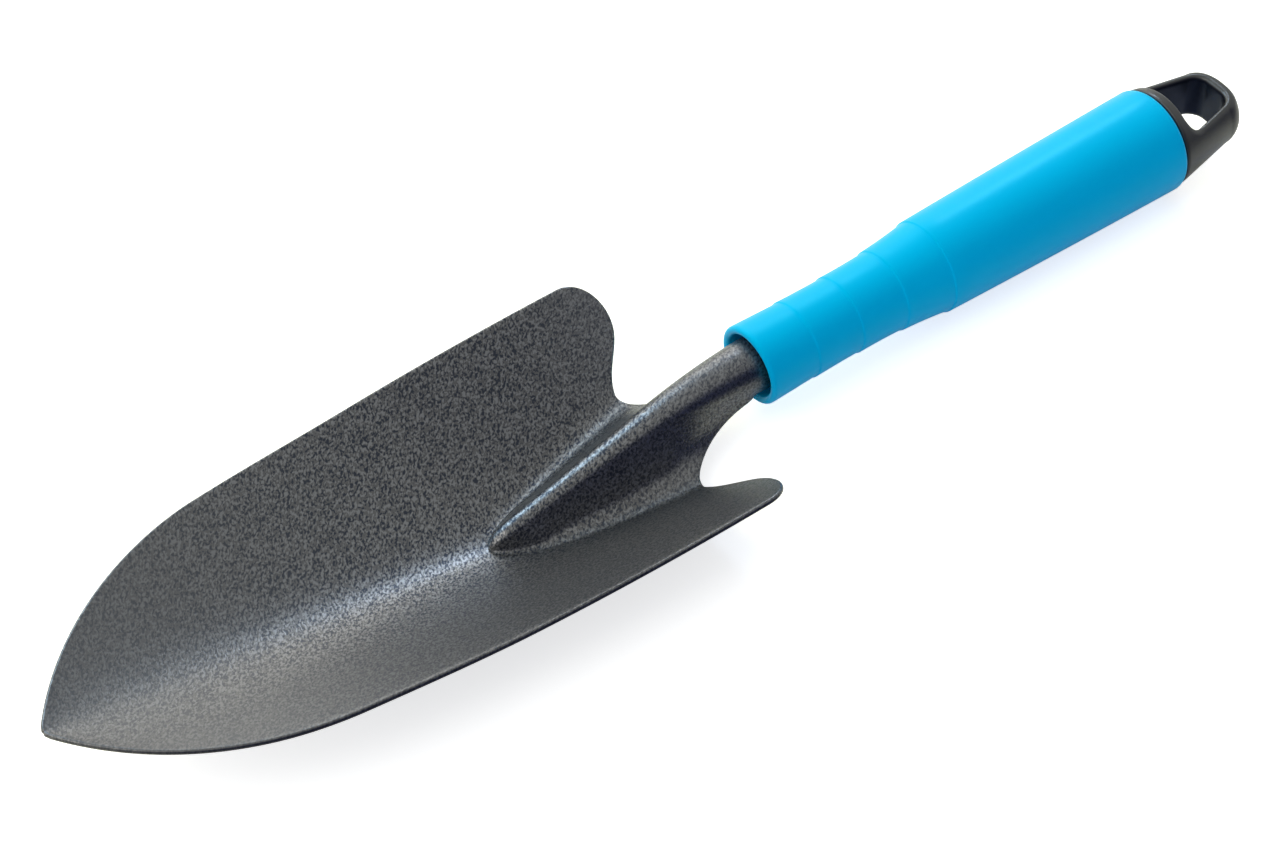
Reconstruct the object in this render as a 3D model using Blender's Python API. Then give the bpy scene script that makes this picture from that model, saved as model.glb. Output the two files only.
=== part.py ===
"""Planting trowel: a pressed steel blade on a rolled tang, a moulded handle and a cap to hang it by.

Metres, +Z up. The handle's axis is level and the hollow side of the blade looks up, as the trowel
lies on a table. The origin is under the middle of the trowel, on the surface it lies on.

Inside the script, x = 0 is the handle's mouth, the blade reaches forward to -x, the handle back
to +x, and z = 0 is the handle's axis. An empty carries every piece to its place in the world.
"""

from math import asin, atan, atan2, ceil, cos, hypot, pi, radians, sin, sqrt, tan

import bmesh
import bpy
from mathutils import Vector

# The gap that neighbouring pieces keep
GAP = 0.0003

# Blade, seen from above
TIP_REACH = 0.1794            # from the handle's mouth forward to the tip
TIP_RADIUS = 0.0029
TIP_SWEEP = radians(37)       # how far the tip's circle turns before the nose's arc
NOSE_LENGTH = 0.0555          # from the tip back to where the sides run nearly straight
BLADE_HALF_WIDTH = 0.0395
WIDEST_REACH = 0.0299          # from the mouth forward to the widest place
SIDE_RADIUS = 0.885           # the long sides are nearly straight arcs
SHEET = 0.0012

# Blade, seen from the side: its trough is a V with a rounded bottom, deepest at the heel
RIM_REAR_HEIGHT = 0.0084
RIM_FRONT_HEIGHT = 0.0100
RIM_RISE_START = 0.0829        # from the mouth forward
RIM_RISE_END = 0.1349
HEEL_REACH = 0.0469
HEEL_DEPTH = 0.0173
HEEL_BLEND = 0.0015
TIP_HEIGHT = 0.0097
TROUGH_ROUNDING = 0.0115      # half width of the rounded bottom ahead of the ridge
HEEL_ROUNDING = 0.0058

# Raised ridge that stiffens the blade and runs back into the tang
TOE_REACH = 0.0719             # where the ridge starts, with a blunt nose
TOE_NOSE = 0.0050
TOE_CREST_HEIGHT = -0.0095    # where the crest's straight ramp would start without its nose
CREST_LEVELLING = 0.0041      # how widely the ramp is rounded where it turns level
CREST_RADIUS = 0.0020
CREST_WIDENING = 1.5
RIDGE_FLANK = radians(57)
VALLEY_RADIUS = 0.0013        # of the bend where the flank meets the trough
VALLEY_FALL = radians(5)

# Neck: the ridge opens into the tang, between the notches that free it from the shoulders
NOTCH_REACH = 0.0249
NOTCH_HALF_WIDTH = 0.0163
NOTCH_PULL = 0.0032           # how squarely the notch's round bottom starts
NECK_TURN_REACH = 0.0309       # from here the flanks turn upright
NECK_FLANK = radians(92)
NECK_REACH = 0.0049            # from here the sheet curls into the tang's tube
THROAT_REACH = 0.0134
THROAT_EDGE = 0.0154          # from the crest round to the neck's free edge, along the sheet
THROAT_PULL = 0.0070
THROAT_TAPER = 0.20
SHOULDER_RADIUS = 0.0083
SHOULDER_SWEEP = radians(54.5)

# Tang
TANG_RADIUS = 0.0065
TANG_CURL = radians(185)      # the sheet turns past its seam
TANG_SEAM = 0.0014
TANG_LENGTH = 0.0561           # inside the handle

# Handle
HANDLE_LENGTH = 0.1228
MOUTH_CLEARANCE = 0.0014      # round the tang inside the mouth
MOUTH_BORE_DEPTH = 0.0046
LIP_RADIUS = 0.0009           # rounds the mouth's lip outside and inside, if its wall is thick enough
FIRST_RING = 0.0132
RING_PITCH = 0.01277
RING_RUN = 0.0004             # length of each ring's small step
# Radius at the front and at the rear of each stretch between rings
STRETCHES = (
    (0.00990, 0.00950),
    (0.00972, 0.00955),
    (0.00980, 0.01002),
    (0.01032, 0.01152),
    (0.01186, 0.01340),
)
STRETCH_SAG = (0.0, 0.00005, 0.00010, 0.00012, -0.00010)
REAR_ROUNDING = 0.0012
WEB_THICKNESS = 0.0040
CAVITY_RADIUS = 0.0095
CAP_SOCKET_RADIUS = 0.0112
CAP_SOCKET_DEPTH = 0.0140

# End cap: a cone behind a short collar, cut flat above and below, with an eye through it
COLLAR_RADIUS = 0.0130
COLLAR_LENGTH = 0.0033
COLLAR_EDGE = 0.0004
LOOP_LENGTH = 0.0193          # behind the collar
LOOP_END_RADIUS = 0.0097      # of the cone, where its rear corner's rounding starts
LOOP_CORNER = 0.0053
LOOP_HALF_HEIGHT = 0.0065
LOOP_EDGE = 0.0005
EDGE_SHARPNESS = 40           # of the edges between the cone and its flats
SADDLE_RADIUS = 0.0040        # of the hollow from the collar down to the flats
EYE_SETBACK = 0.0002          # from the collar's rear face to the eye's front wall
EYE_LENGTH = 0.0159
EYE_FRONT_HALF_WIDTH = 0.0091
EYE_REAR_HALF_WIDTH = 0.0054
EYE_CORNER = 0.0030
PLUG_LENGTH = 0.0120
PLUG_WALL = 0.0018
SNAP_DEPTH = 0.0070           # from the handle's rear end forward to the snap rib
SNAP_HALF_LENGTH = 0.0006
SNAP_HEIGHT = 0.0004

# Fixings
SCREW_RADIUS = 0.0025
SCREW_ENGAGEMENT = 0.0130     # how far the screw reaches into the tang's plug
SCREW_HEAD_RADIUS = 0.0045
SCREW_HEAD_HEIGHT = 0.0030
SCREW_HEAD_EDGE = 0.0008
SCREW_TIP_RADIUS = 0.0015
SCREW_TIP_LENGTH = 0.0010
RECESS_DEPTH = 0.0016
RECESS_HALF_LENGTH = 0.0024
RECESS_HALF_WIDTH = 0.0005
WASHER_RADIUS = 0.0062
WASHER_THICKNESS = 0.0012
TANG_PLUG_RECESS = 0.0005     # the plug sits this far inside the tang's end
TANG_PLUG_RUN_OUT = 0.0015
TANG_PLUG_END_WALL = 0.0030
TANG_PLUG_EDGE = 0.0006

# How finely the shapes are cut into faces
FIRST_STATION = 0.00015       # behind the tip
NOSE_COLUMNS = 18
NOSE_CROWDING = 1.25          # above 1, stations lie closer together at the start
RIDGE_COLUMNS = 15
RIDGE_CROWDING = 1.4
NECK_COLUMNS = 9
CURL_COLUMNS = 9
TANG_COLUMNS = 3
SHOULDER_COLUMNS = 6
SHOULDER_SHARE = 0.35         # of the shoulder's arc, along its side columns
RIDGE_ROWS = 12
ROW_CROWDING = 1.3
WING_ROWS = 6
FRONT_SPLIT = 0.15            # of the blade's half width, where rows divide ahead of the ridge
SPLIT_BLEND = 0.0015
BEND_STEPS = 24               # of the fine section that rows are read from
VALLEY_STEPS = 8
WING_STEPS = 80
SLOPE_STEP = 0.00002
FLANK_PASSES = 4              # of the search for a flank that meets the valley
FLANK_MARGIN = radians(2)
TURNED_SIDES = 40
SMALL_SIDES = 24
PROFILE_STEP = 0.008          # longest run of a turned profile without a point
LOOP_SIDES = 60
SADDLE_COLUMNS = 6
CONE_COLUMNS = 7
CORNER_COLUMNS = 4
MERGE = 0.000001              # points closer than this are one point


def smooth_step(start, end, x):
    """From 0 at start to 1 at end, level at both."""
    t = min(1.0, max(0.0, (x - start) / (end - start)))
    return t * t * (3.0 - 2.0 * t)


def soft_max(a, b, blend):
    """The larger of two values, with the change from one to the other rounded."""
    return (a + b + hypot(a - b, blend)) / 2.0


# Outline of the blade

def side_half_width(x):
    """Half width along the long, nearly straight sides."""
    ahead = max(0.0, -WIDEST_REACH - x)
    return BLADE_HALF_WIDTH - (SIDE_RADIUS - sqrt(SIDE_RADIUS**2 - ahead**2))


def nose_arc():
    """The nose's arc, tangent to the side and ending on the tip's small circle.

    Returns its start (x, y), its heading there and its radius.
    """
    start_x = -TIP_REACH + NOSE_LENGTH
    start_y = side_half_width(start_x)
    heading = asin((-WIDEST_REACH - start_x) / SIDE_RADIUS)
    end_x, end_y = tip_join()
    across = start_y - end_y
    along = start_x - end_x
    bend = atan2(across, along) - heading
    return start_x, start_y, heading, hypot(across, along) / (2.0 * sin(bend))


def tip_join():
    """Where the tip's circle hands over to the nose's arc."""
    return -TIP_REACH + TIP_RADIUS * (1.0 - cos(TIP_SWEEP)), TIP_RADIUS * sin(TIP_SWEEP)


def half_width(x):
    """Half width of the blade at a station."""
    start_x, start_y, heading, radius = nose_arc()
    if x >= start_x:
        return side_half_width(x)
    if x > tip_join()[0]:
        turned = asin(min(1.0, sin(heading) + (start_x - x) / radius))
        return start_y - radius * (cos(heading) - cos(turned))
    return sqrt(TIP_RADIUS**2 - (TIP_RADIUS - (x + TIP_REACH))**2)


# The trough that the sheet is pressed into

def rim_z(x):
    """Height of the blade's edge."""
    rise = smooth_step(-RIM_RISE_START, -RIM_RISE_END, x)
    return RIM_REAR_HEIGHT + (RIM_FRONT_HEIGHT - RIM_REAR_HEIGHT) * rise


def bottom_z(x):
    """Height of the trough's bottom: a straight rise from the heel to the tip."""
    slope = (TIP_HEIGHT + HEEL_DEPTH) / (TIP_REACH - HEEL_REACH)
    return soft_max(-HEEL_DEPTH + slope * (-HEEL_REACH - x), -HEEL_DEPTH, HEEL_BLEND)


def trough_z(x, y):
    """Height of the trough: two flat sides that meet in a rounded bottom."""
    rounding = HEEL_ROUNDING
    rounding += (TROUGH_ROUNDING - HEEL_ROUNDING) * smooth_step(-HEEL_REACH, -TOE_REACH, x)
    climb = hypot(y, rounding) - rounding
    full_climb = hypot(half_width(x), rounding) - rounding
    return bottom_z(x) + (rim_z(x) - bottom_z(x)) * climb / full_climb


def trough_slope(x, y):
    """How steeply the trough climbs sideways."""
    return (trough_z(x, y + SLOPE_STEP) - trough_z(x, y - SLOPE_STEP)) / (2.0 * SLOPE_STEP)


# The ridge and the tang

def crest_z(x):
    """Height of the ridge's crest: a blunt nose, then a ramp that turns level at the mouth."""
    slope = (TANG_RADIUS + CREST_LEVELLING - TOE_CREST_HEIGHT) / TOE_REACH
    ramp = TOE_CREST_HEIGHT + slope * (x + TOE_REACH)
    near = max(0.0, 1.0 - abs(ramp - TANG_RADIUS) / CREST_LEVELLING)
    ramp = min(ramp, TANG_RADIUS) - CREST_LEVELLING * near**2 / 4.0
    nose = min(1.0, (x + TOE_REACH) / TOE_NOSE)
    return bottom_z(x) + (ramp - bottom_z(x)) * sqrt(nose * (2.0 - nose))


def valley_y(x):
    """How far from the middle the ridge's flank meets the trough: a parabola from the toe."""
    past_toe = max(0.0, x + TOE_REACH)
    return NOTCH_HALF_WIDTH * sqrt(past_toe / (TOE_REACH - NOTCH_REACH))


def crest_radius(x):
    """Radius across the crest: small at the toe, the tang's own at the handle's mouth."""
    t = min(1.0, (x + TOE_REACH) / TOE_REACH)
    return min(CREST_RADIUS + (TANG_RADIUS - CREST_RADIUS) * t**CREST_WIDENING, valley_y(x) / 2.0)


def tang_curl(x):
    """From 0 where the neck is still open to 1 where the tang is a tube."""
    return smooth_step(-NECK_REACH, MOUTH_BORE_DEPTH, x)


def flank_angle(x):
    """How steeply the ridge's flank falls. Past a right angle it turns under the tang."""
    angle = RIDGE_FLANK
    angle += (NECK_FLANK - RIDGE_FLANK) * smooth_step(-NECK_TURN_REACH, -NECK_REACH, x)
    angle += (TANG_CURL - NECK_FLANK) * tang_curl(x)
    return angle


def bend_points(start, radius, heading, new_heading, steps):
    """Points of a bend in the sheet from a point. Headings are how far it falls below level."""
    side = 1.0 if new_heading > heading else -1.0
    centre_y = start[0] - side * radius * sin(heading)
    centre_z = start[1] - side * radius * cos(heading)
    points = []
    for i in range(steps + 1):
        angle = heading + (new_heading - heading) * i / steps
        points.append((centre_y + side * radius * sin(angle), centre_z + side * radius * cos(angle)))
    return points


def ridge_flank(x):
    """The flank's angle, its straight run and its foot's radius, so that it meets the valley.

    Also gives how steeply the trough climbs from there.
    """
    climb = atan(trough_slope(x, valley_y(x)))
    trim = VALLEY_RADIUS * tan((climb + VALLEY_FALL) / 2.0)
    foot_y = valley_y(x) - trim * cos(VALLEY_FALL)
    foot_z = trough_z(x, valley_y(x)) + trim * sin(VALLEY_FALL)
    radius = crest_radius(x)
    flank = flank_angle(x)
    for _ in range(FLANK_PASSES):
        across = foot_y - radius * sin(flank)
        down = crest_z(x) - radius * (1.0 - cos(flank)) - foot_z
        chord = atan2(down, across)
        # A steeper flank would overshoot the valley, and a flatter one would pass above it
        flank = min(2.0 * chord - VALLEY_FALL, max(chord + FLANK_MARGIN, flank))
    across = foot_y - radius * sin(flank)
    down = crest_z(x) - radius * (1.0 - cos(flank)) - foot_z
    share = cos(flank - VALLEY_FALL) - 1.0
    run = (across * (cos(VALLEY_FALL) - cos(flank)) - down * (sin(flank) - sin(VALLEY_FALL))) / share
    return flank, run, (down * cos(flank) - across * sin(flank)) / share, climb


def half_section(x):
    """Half of the sheet's upper face at one station, from the middle out, as (y, z) points."""
    width = half_width(x)
    if x <= -TOE_REACH:
        stops = [width * i / WING_STEPS for i in range(WING_STEPS + 1)]
        return [(y, trough_z(x, y)) for y in stops]
    flank, run, foot_radius, climb = ridge_flank(min(x, -NOTCH_REACH))
    if x > -NOTCH_REACH:
        flank = flank_angle(x)
        run *= 1.0 - smooth_step(-NOTCH_REACH, 0.0, x)
    points = bend_points((0.0, crest_z(x)), crest_radius(x), 0.0, flank, BEND_STEPS)
    y, z = points[-1]
    foot = (y + run * cos(flank), z - run * sin(flank))
    points += bend_points(foot, foot_radius, flank, VALLEY_FALL, BEND_STEPS)
    points += bend_points(points[-1], VALLEY_RADIUS, VALLEY_FALL, -climb, VALLEY_STEPS)
    start_y, start_z = points[-1]
    for i in range(1, WING_STEPS + 1):
        y = start_y + (width - start_y) * i / WING_STEPS
        z = trough_z(x, y) if x <= -NOTCH_REACH else start_z + (y - start_y) * tan(climb)
        points.append((y, z))
    return points


class Section:
    """One half section, read by the distance along the sheet from its middle."""

    def __init__(self, x):
        self.x = x
        self.points = half_section(x)
        self.lengths = [0.0]
        for (y0, z0), (y1, z1) in zip(self.points, self.points[1:]):
            self.lengths.append(self.lengths[-1] + hypot(y1 - y0, z1 - z0))

    def interpolate(self, keys, key):
        index = 1
        while index < len(keys) - 1 and keys[index] < key:
            index += 1
        span = keys[index] - keys[index - 1]
        t = (key - keys[index - 1]) / span if span > 0.0 else 0.0
        (y0, z0), (y1, z1) = self.points[index - 1], self.points[index]
        return y0 + (y1 - y0) * t, z0 + (z1 - z0) * t

    def at_length(self, length):
        """The point at a distance along the sheet."""
        y, z = self.interpolate(self.lengths, length)
        return Vector((self.x, y, z))

    def length_at(self, y):
        """The distance along the sheet to the last place that is y from the middle."""
        index = len(self.points) - 1
        while index > 1 and self.points[index - 1][0] > y:
            index -= 1
        (y0, _), (y1, _) = self.points[index - 1], self.points[index]
        t = (y - y0) / (y1 - y0)
        return self.lengths[index - 1] + (self.lengths[index] - self.lengths[index - 1]) * t

    def height_at(self, y):
        """The height of the sheet at y, out on the wing."""
        return self.at_length(self.length_at(y)).z


def bezier(p0, p1, p2, p3, t):
    """A point of a cubic curve."""
    s = 1.0 - t
    return tuple(s**3 * a + 3 * s * s * t * b + 3 * s * t * t * c + t**3 * d
                 for a, b, c, d in zip(p0, p1, p2, p3))


def wing_start(x):
    """Where the ridge's rows end and the wing's rows begin: along the valley, once there is one."""
    return soft_max(valley_y(x), FRONT_SPLIT * half_width(x), SPLIT_BLEND)


def neck_edge():
    """Stations along the neck and the sheet's half width there: the notch, then the tang's seam."""
    start = Section(-NOTCH_REACH).length_at(wing_start(-NOTCH_REACH))
    tang_edge = pi * TANG_RADIUS - TANG_SEAM / 2.0
    edge = []
    for i in range(1, NECK_COLUMNS + 1):
        edge.append(bezier((-NOTCH_REACH, start),
                           (-NOTCH_REACH, start - NOTCH_PULL),
                           (-THROAT_REACH - THROAT_PULL, THROAT_EDGE + THROAT_TAPER * THROAT_PULL),
                           (-THROAT_REACH, THROAT_EDGE), i / NECK_COLUMNS))
    for i in range(1, CURL_COLUMNS + 1):
        x = -THROAT_REACH + (MOUTH_BORE_DEPTH + THROAT_REACH) * i / CURL_COLUMNS
        open_edge = THROAT_EDGE - THROAT_TAPER * (x + THROAT_REACH)
        edge.append((x, open_edge + (tang_edge - open_edge) * tang_curl(x)))
    for i in range(1, TANG_COLUMNS + 1):
        edge.append((MOUTH_BORE_DEPTH + (TANG_LENGTH - MOUTH_BORE_DEPTH) * i / TANG_COLUMNS, tang_edge))
    return edge


def ridge_fraction(row):
    """Rows lie closer together near the crest."""
    return (row / RIDGE_ROWS)**ROW_CROWDING


def blade_stations():
    """Stations from the tip to the notch, closer together at the tip and at the ridge's toe."""
    start = -TIP_REACH + FIRST_STATION
    front = -TOE_REACH - start
    rear = TOE_REACH - NOTCH_REACH
    stations = [start + front * (i / NOSE_COLUMNS)**NOSE_CROWDING for i in range(NOSE_COLUMNS + 1)]
    for i in range(1, RIDGE_COLUMNS + 1):
        stations.append(-TOE_REACH + rear * (i / RIDGE_COLUMNS)**RIDGE_CROWDING)
    return stations


def shoulder_point(u, v):
    """A point of a shoulder seen from above: u runs out along the notch's line, v backwards."""
    inner = (-NOTCH_REACH, wing_start(-NOTCH_REACH))
    side = side_half_width(-NOTCH_REACH)
    # The straight rear edge and the long side meet in a corner that the shoulder's arc rounds
    half_turn = (pi - SHOULDER_SWEEP) / 2.0
    centre = (-NOTCH_REACH, side - SHOULDER_RADIUS)
    outer = (-NOTCH_REACH, side)

    def on_arc(t):
        """The shoulder's arc, from its side end at t = 0 to the rear edge at t = 1."""
        angle = pi / 2.0 - 2.0 * half_turn * t
        return centre[0] + SHOULDER_RADIUS * cos(angle), centre[1] + SHOULDER_RADIUS * sin(angle)

    rear = on_arc(1.0)
    pull = hypot(rear[0] - inner[0], rear[1] - inner[1]) / 3.0
    lean = (cos(SHOULDER_SWEEP) * pull, sin(SHOULDER_SWEEP) * pull)

    def inner_edge(t):
        return bezier(inner, (inner[0], inner[1] + pull), (rear[0] - lean[0], rear[1] - lean[1]), rear, t)

    corners = (inner, outer, rear, on_arc(SHOULDER_SHARE))
    base = (inner[0], inner[1] + (outer[1] - inner[1]) * u)
    top = on_arc(1.0 - (1.0 - SHOULDER_SHARE) * u)
    left = inner_edge(v)
    right = on_arc(SHOULDER_SHARE * v)
    point = []
    for k in range(2):
        blend = (1 - v) * base[k] + v * top[k] + (1 - u) * left[k] + u * right[k]
        blend -= (1 - u) * (1 - v) * corners[0][k] + u * (1 - v) * corners[1][k]
        blend -= (1 - u) * v * corners[2][k] + u * v * corners[3][k]
        point.append(blend)
    return point


def blade_grids():
    """The upper face's three grids for the +Y half: blade and ridge, neck and tang, shoulder."""
    main = []
    for x in blade_stations():
        section = Section(x)
        split = section.length_at(wing_start(x))
        column = [section.at_length(split * ridge_fraction(row)) for row in range(RIDGE_ROWS + 1)]
        inner = wing_start(x)
        for row in range(1, WING_ROWS + 1):
            y = inner + (half_width(x) - inner) * row / WING_ROWS
            column.append(Vector((x, y, section.height_at(y))))
        main.append(column)
    neck = [main[-1][:RIDGE_ROWS + 1]]
    for x, edge in neck_edge():
        section = Section(x)
        neck.append([section.at_length(edge * ridge_fraction(row)) for row in range(RIDGE_ROWS + 1)])
    shoulder = [main[-1][RIDGE_ROWS:]]
    for column in range(1, SHOULDER_COLUMNS + 1):
        points = [shoulder_point(row / WING_ROWS, column / SHOULDER_COLUMNS) for row in range(WING_ROWS + 1)]
        shoulder.append([Vector((x, y, trough_z(x, y))) for x, y in points])
    return main, neck, shoulder


def add_grid(mesh, grid):
    """Faces of a grid of points, wound so that they look up."""
    verts = [[mesh.verts.new(point) for point in column] for column in grid]
    for here, ahead in zip(verts, verts[1:]):
        for row in range(len(here) - 1):
            mesh.faces.new((here[row], ahead[row], ahead[row + 1], here[row + 1]))


def mirrored(grid):
    """The same grid on the other side, kept wound the same way."""
    return [[Vector((p.x, -p.y, p.z)) for p in column] for column in reversed(grid)]


# Building and dressing the objects

def material(name, colour, roughness, metallic):
    """A plain surface of one colour."""
    made = bpy.data.materials.new(name)
    made.use_nodes = True
    shader = made.node_tree.nodes["Principled BSDF"]
    shader.inputs["Base Color"].default_value = (*colour, 1.0)
    shader.inputs["Roughness"].default_value = roughness
    shader.inputs["Metallic"].default_value = metallic
    return made


def finish(name, mesh, surface, crease=radians(35)):
    """An object from a bmesh, shaded smooth up to its sharp edges."""
    data = bpy.data.meshes.new(name)
    mesh.to_mesh(data)
    mesh.free()
    data.materials.append(surface)
    data.shade_smooth()
    data.set_sharp_from_angle(angle=crease)
    made = bpy.data.objects.new(name, data)
    bpy.context.scene.collection.objects.link(made)
    return made


def turned_mesh(profile, sides, closed):
    """A body turned about the x axis from (x, radius) points, listed front to rear outside."""
    mesh = bmesh.new()
    verts = [mesh.verts.new((x, 0.0, radius)) for x, radius in profile]
    pairs = list(zip(verts, verts[1:]))
    if closed:
        pairs.append((verts[-1], verts[0]))
    edges = [mesh.edges.new(pair) for pair in pairs]
    bmesh.ops.spin(mesh, geom=verts + edges, cent=(0, 0, 0), axis=(1, 0, 0),
                   angle=2.0 * pi, steps=sides, use_merge=True)
    bmesh.ops.remove_doubles(mesh, verts=mesh.verts, dist=MERGE)
    bmesh.ops.recalc_face_normals(mesh, faces=mesh.faces)
    return mesh


def round_edge(x, radius, turn_from, turn_to, size, steps=4):
    """Points of a rounded edge about a centre, angles measured from +x towards outside."""
    return [(x + size * cos(turn_from + (turn_to - turn_from) * i / steps),
             radius + size * sin(turn_from + (turn_to - turn_from) * i / steps))
            for i in range(steps + 1)]


def build_blade():
    """The pressed sheet: its upper face as grids, then its thickness below."""
    mesh = bmesh.new()
    for grid in blade_grids():
        add_grid(mesh, grid)
        add_grid(mesh, mirrored(grid))
    bmesh.ops.remove_doubles(mesh, verts=mesh.verts, dist=MERGE)
    paint = material("hammered_grey_paint", (0.085, 0.087, 0.090), 0.38, 0.35)
    blade = finish("blade", mesh, paint)
    thickness = blade.modifiers.new("thickness", "SOLIDIFY")
    thickness.thickness = SHEET
    thickness.offset = -1.0
    thickness.use_even_offset = True
    thickness.use_quality_normals = True
    return blade


def stretch_ends():
    """Front and rear of each stretch of the handle between its rings."""
    rings = [FIRST_RING + RING_PITCH * i for i in range(len(STRETCHES) - 1)]
    return list(zip([0.0] + rings, rings + [HANDLE_LENGTH]))


def mouth_bore():
    """Radius of the wide bore that the tang enters by."""
    return TANG_RADIUS + MOUTH_CLEARANCE


def lip_radius():
    """Radius of the mouth's rounded lip: at most half of its wall."""
    return min(LIP_RADIUS, (STRETCHES[0][0] - mouth_bore()) / 2.0)


def handle_outside():
    """The handle's outer profile from its mouth to its rear end, as (x, radius) points."""
    lip = lip_radius()
    points = round_edge(lip, STRETCHES[0][0] - lip, pi, pi / 2.0, lip)
    for index, ((front, rear), (front_radius, rear_radius)) in enumerate(zip(stretch_ends(), STRETCHES)):
        start = front + (lip if index == 0 else RING_RUN)
        end = rear - (REAR_ROUNDING if rear == HANDLE_LENGTH else 0.0)
        steps = ceil((end - start) / PROFILE_STEP) + 2
        for i in range(1 if index == 0 else 0, steps + 1):
            t = i / steps
            radius = front_radius + (rear_radius - front_radius) * t
            points.append((start + (end - start) * t, radius - STRETCH_SAG[index] * 4.0 * t * (1.0 - t)))
    points += round_edge(HANDLE_LENGTH - REAR_ROUNDING, STRETCHES[-1][1] - REAR_ROUNDING,
                         pi / 2.0, 0.0, REAR_ROUNDING)[1:]
    return points


def snap_profile(radius, half_length):
    """The cap's snap rib, or the groove for it, as (x, radius) points from rear to front."""
    middle = HANDLE_LENGTH - SNAP_DEPTH
    return [(middle + half_length + SNAP_HEIGHT, radius), (middle + half_length, radius + SNAP_HEIGHT),
            (middle - half_length, radius + SNAP_HEIGHT), (middle - half_length - SNAP_HEIGHT, radius)]


def web_front():
    """The handle's inner web starts just behind the tang's end."""
    return TANG_LENGTH + GAP


def build_handle():
    """The moulded handle: a socket for the tang, a web for the screw, a socket for the cap."""
    web_rear = web_front() + WEB_THICKNESS
    socket_front = HANDLE_LENGTH - CAP_SOCKET_DEPTH
    lip = lip_radius()
    profile = handle_outside()
    profile.append((HANDLE_LENGTH, CAP_SOCKET_RADIUS))
    profile += snap_profile(CAP_SOCKET_RADIUS, SNAP_HALF_LENGTH + GAP)
    profile += [(socket_front, CAP_SOCKET_RADIUS), (socket_front, CAVITY_RADIUS)]
    profile += [(web_rear, CAVITY_RADIUS), (web_rear, SCREW_RADIUS + GAP)]
    profile += [(web_front(), SCREW_RADIUS + GAP), (web_front(), TANG_RADIUS + GAP)]
    profile += [(MOUTH_BORE_DEPTH, TANG_RADIUS + GAP), (MOUTH_BORE_DEPTH, mouth_bore())]
    profile += round_edge(lip, mouth_bore() + lip, 1.5 * pi, pi, lip)
    plastic = material("cyan_plastic", (0.0, 0.42, 0.78), 0.32, 0.0)
    return finish("handle", turned_mesh(profile, TURNED_SIDES, closed=True), plastic)


def collar_front():
    return HANDLE_LENGTH + GAP


def loop_start():
    return collar_front() + COLLAR_LENGTH


def loop_rear():
    return loop_start() + LOOP_LENGTH


def cone_radius(x):
    """Radius of the cap behind the handle: a cone with a rounded front edge and rear corner."""
    corner = loop_rear() - LOOP_CORNER
    if x > corner:
        return LOOP_END_RADIUS - LOOP_CORNER + sqrt(max(0.0, LOOP_CORNER**2 - (x - corner)**2))
    t = (x - collar_front()) / (corner - collar_front())
    ahead = max(0.0, collar_front() + COLLAR_EDGE - x)
    drop = COLLAR_EDGE - sqrt(max(0.0, COLLAR_EDGE**2 - ahead**2))
    return COLLAR_RADIUS + (LOOP_END_RADIUS - COLLAR_RADIUS) * t - drop


def flat_height(x):
    """How far above the axis the cap is cut flat: clear of the collar, then down the saddle."""
    if x < loop_start():
        return 2.0 * COLLAR_RADIUS
    rear = loop_start() + SADDLE_RADIUS
    hollow = SADDLE_RADIUS - sqrt(max(0.0, SADDLE_RADIUS**2 - max(0.0, rear - x)**2))
    past_edge = max(0.0, x - (loop_rear() - LOOP_EDGE))
    return LOOP_HALF_HEIGHT + hollow - LOOP_EDGE + sqrt(max(0.0, LOOP_EDGE**2 - past_edge**2))


def loop_section(x):
    """One section of the cap's solid body: the cone, cut flat above and below, edges rounded."""
    points = []
    for i in range(LOOP_SIDES):
        angle = 2.0 * pi * i / LOOP_SIDES
        round_share = cone_radius(x)**-EDGE_SHARPNESS
        flat_share = (abs(sin(angle)) / flat_height(x))**EDGE_SHARPNESS
        reach = (round_share + flat_share)**(-1.0 / EDGE_SHARPNESS)
        points.append(Vector((x, reach * cos(angle), reach * sin(angle))))
    return points


def loop_stations():
    """Stations from the collar's front to the loop's rear, closer together where it bends."""
    edge = [COLLAR_EDGE * (1.0 - cos(pi / 2.0 * i / CORNER_COLUMNS)) for i in range(CORNER_COLUMNS + 1)]
    stations = [collar_front() + step for step in edge]
    stations.append(loop_start() - MERGE)
    for i in range(SADDLE_COLUMNS + 1):
        stations.append(loop_start() + SADDLE_RADIUS * (1.0 - cos(pi / 2.0 * i / SADDLE_COLUMNS)))
    saddle_end = loop_start() + SADDLE_RADIUS
    corner = loop_rear() - LOOP_CORNER
    for i in range(1, CONE_COLUMNS + 1):
        stations.append(saddle_end + (corner - saddle_end) * i / CONE_COLUMNS)
    for i in range(1, CORNER_COLUMNS * 2 + 1):
        stations.append(corner + LOOP_CORNER * sin(pi / 2.0 * i / (CORNER_COLUMNS * 2)))
    return stations


def build_loop_body():
    """The collar and the loop before the eye is cut: sections bridged from front to rear."""
    mesh = bmesh.new()
    rings = [[mesh.verts.new(point) for point in loop_section(x)] for x in loop_stations()]
    for here, ahead in zip(rings, rings[1:]):
        for i in range(LOOP_SIDES):
            j = (i + 1) % LOOP_SIDES
            mesh.faces.new((here[i], here[j], ahead[j], ahead[i]))
    mesh.faces.new(reversed(rings[0]))
    mesh.faces.new(rings[-1])
    bmesh.ops.recalc_face_normals(mesh, faces=mesh.faces)
    return mesh


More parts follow.
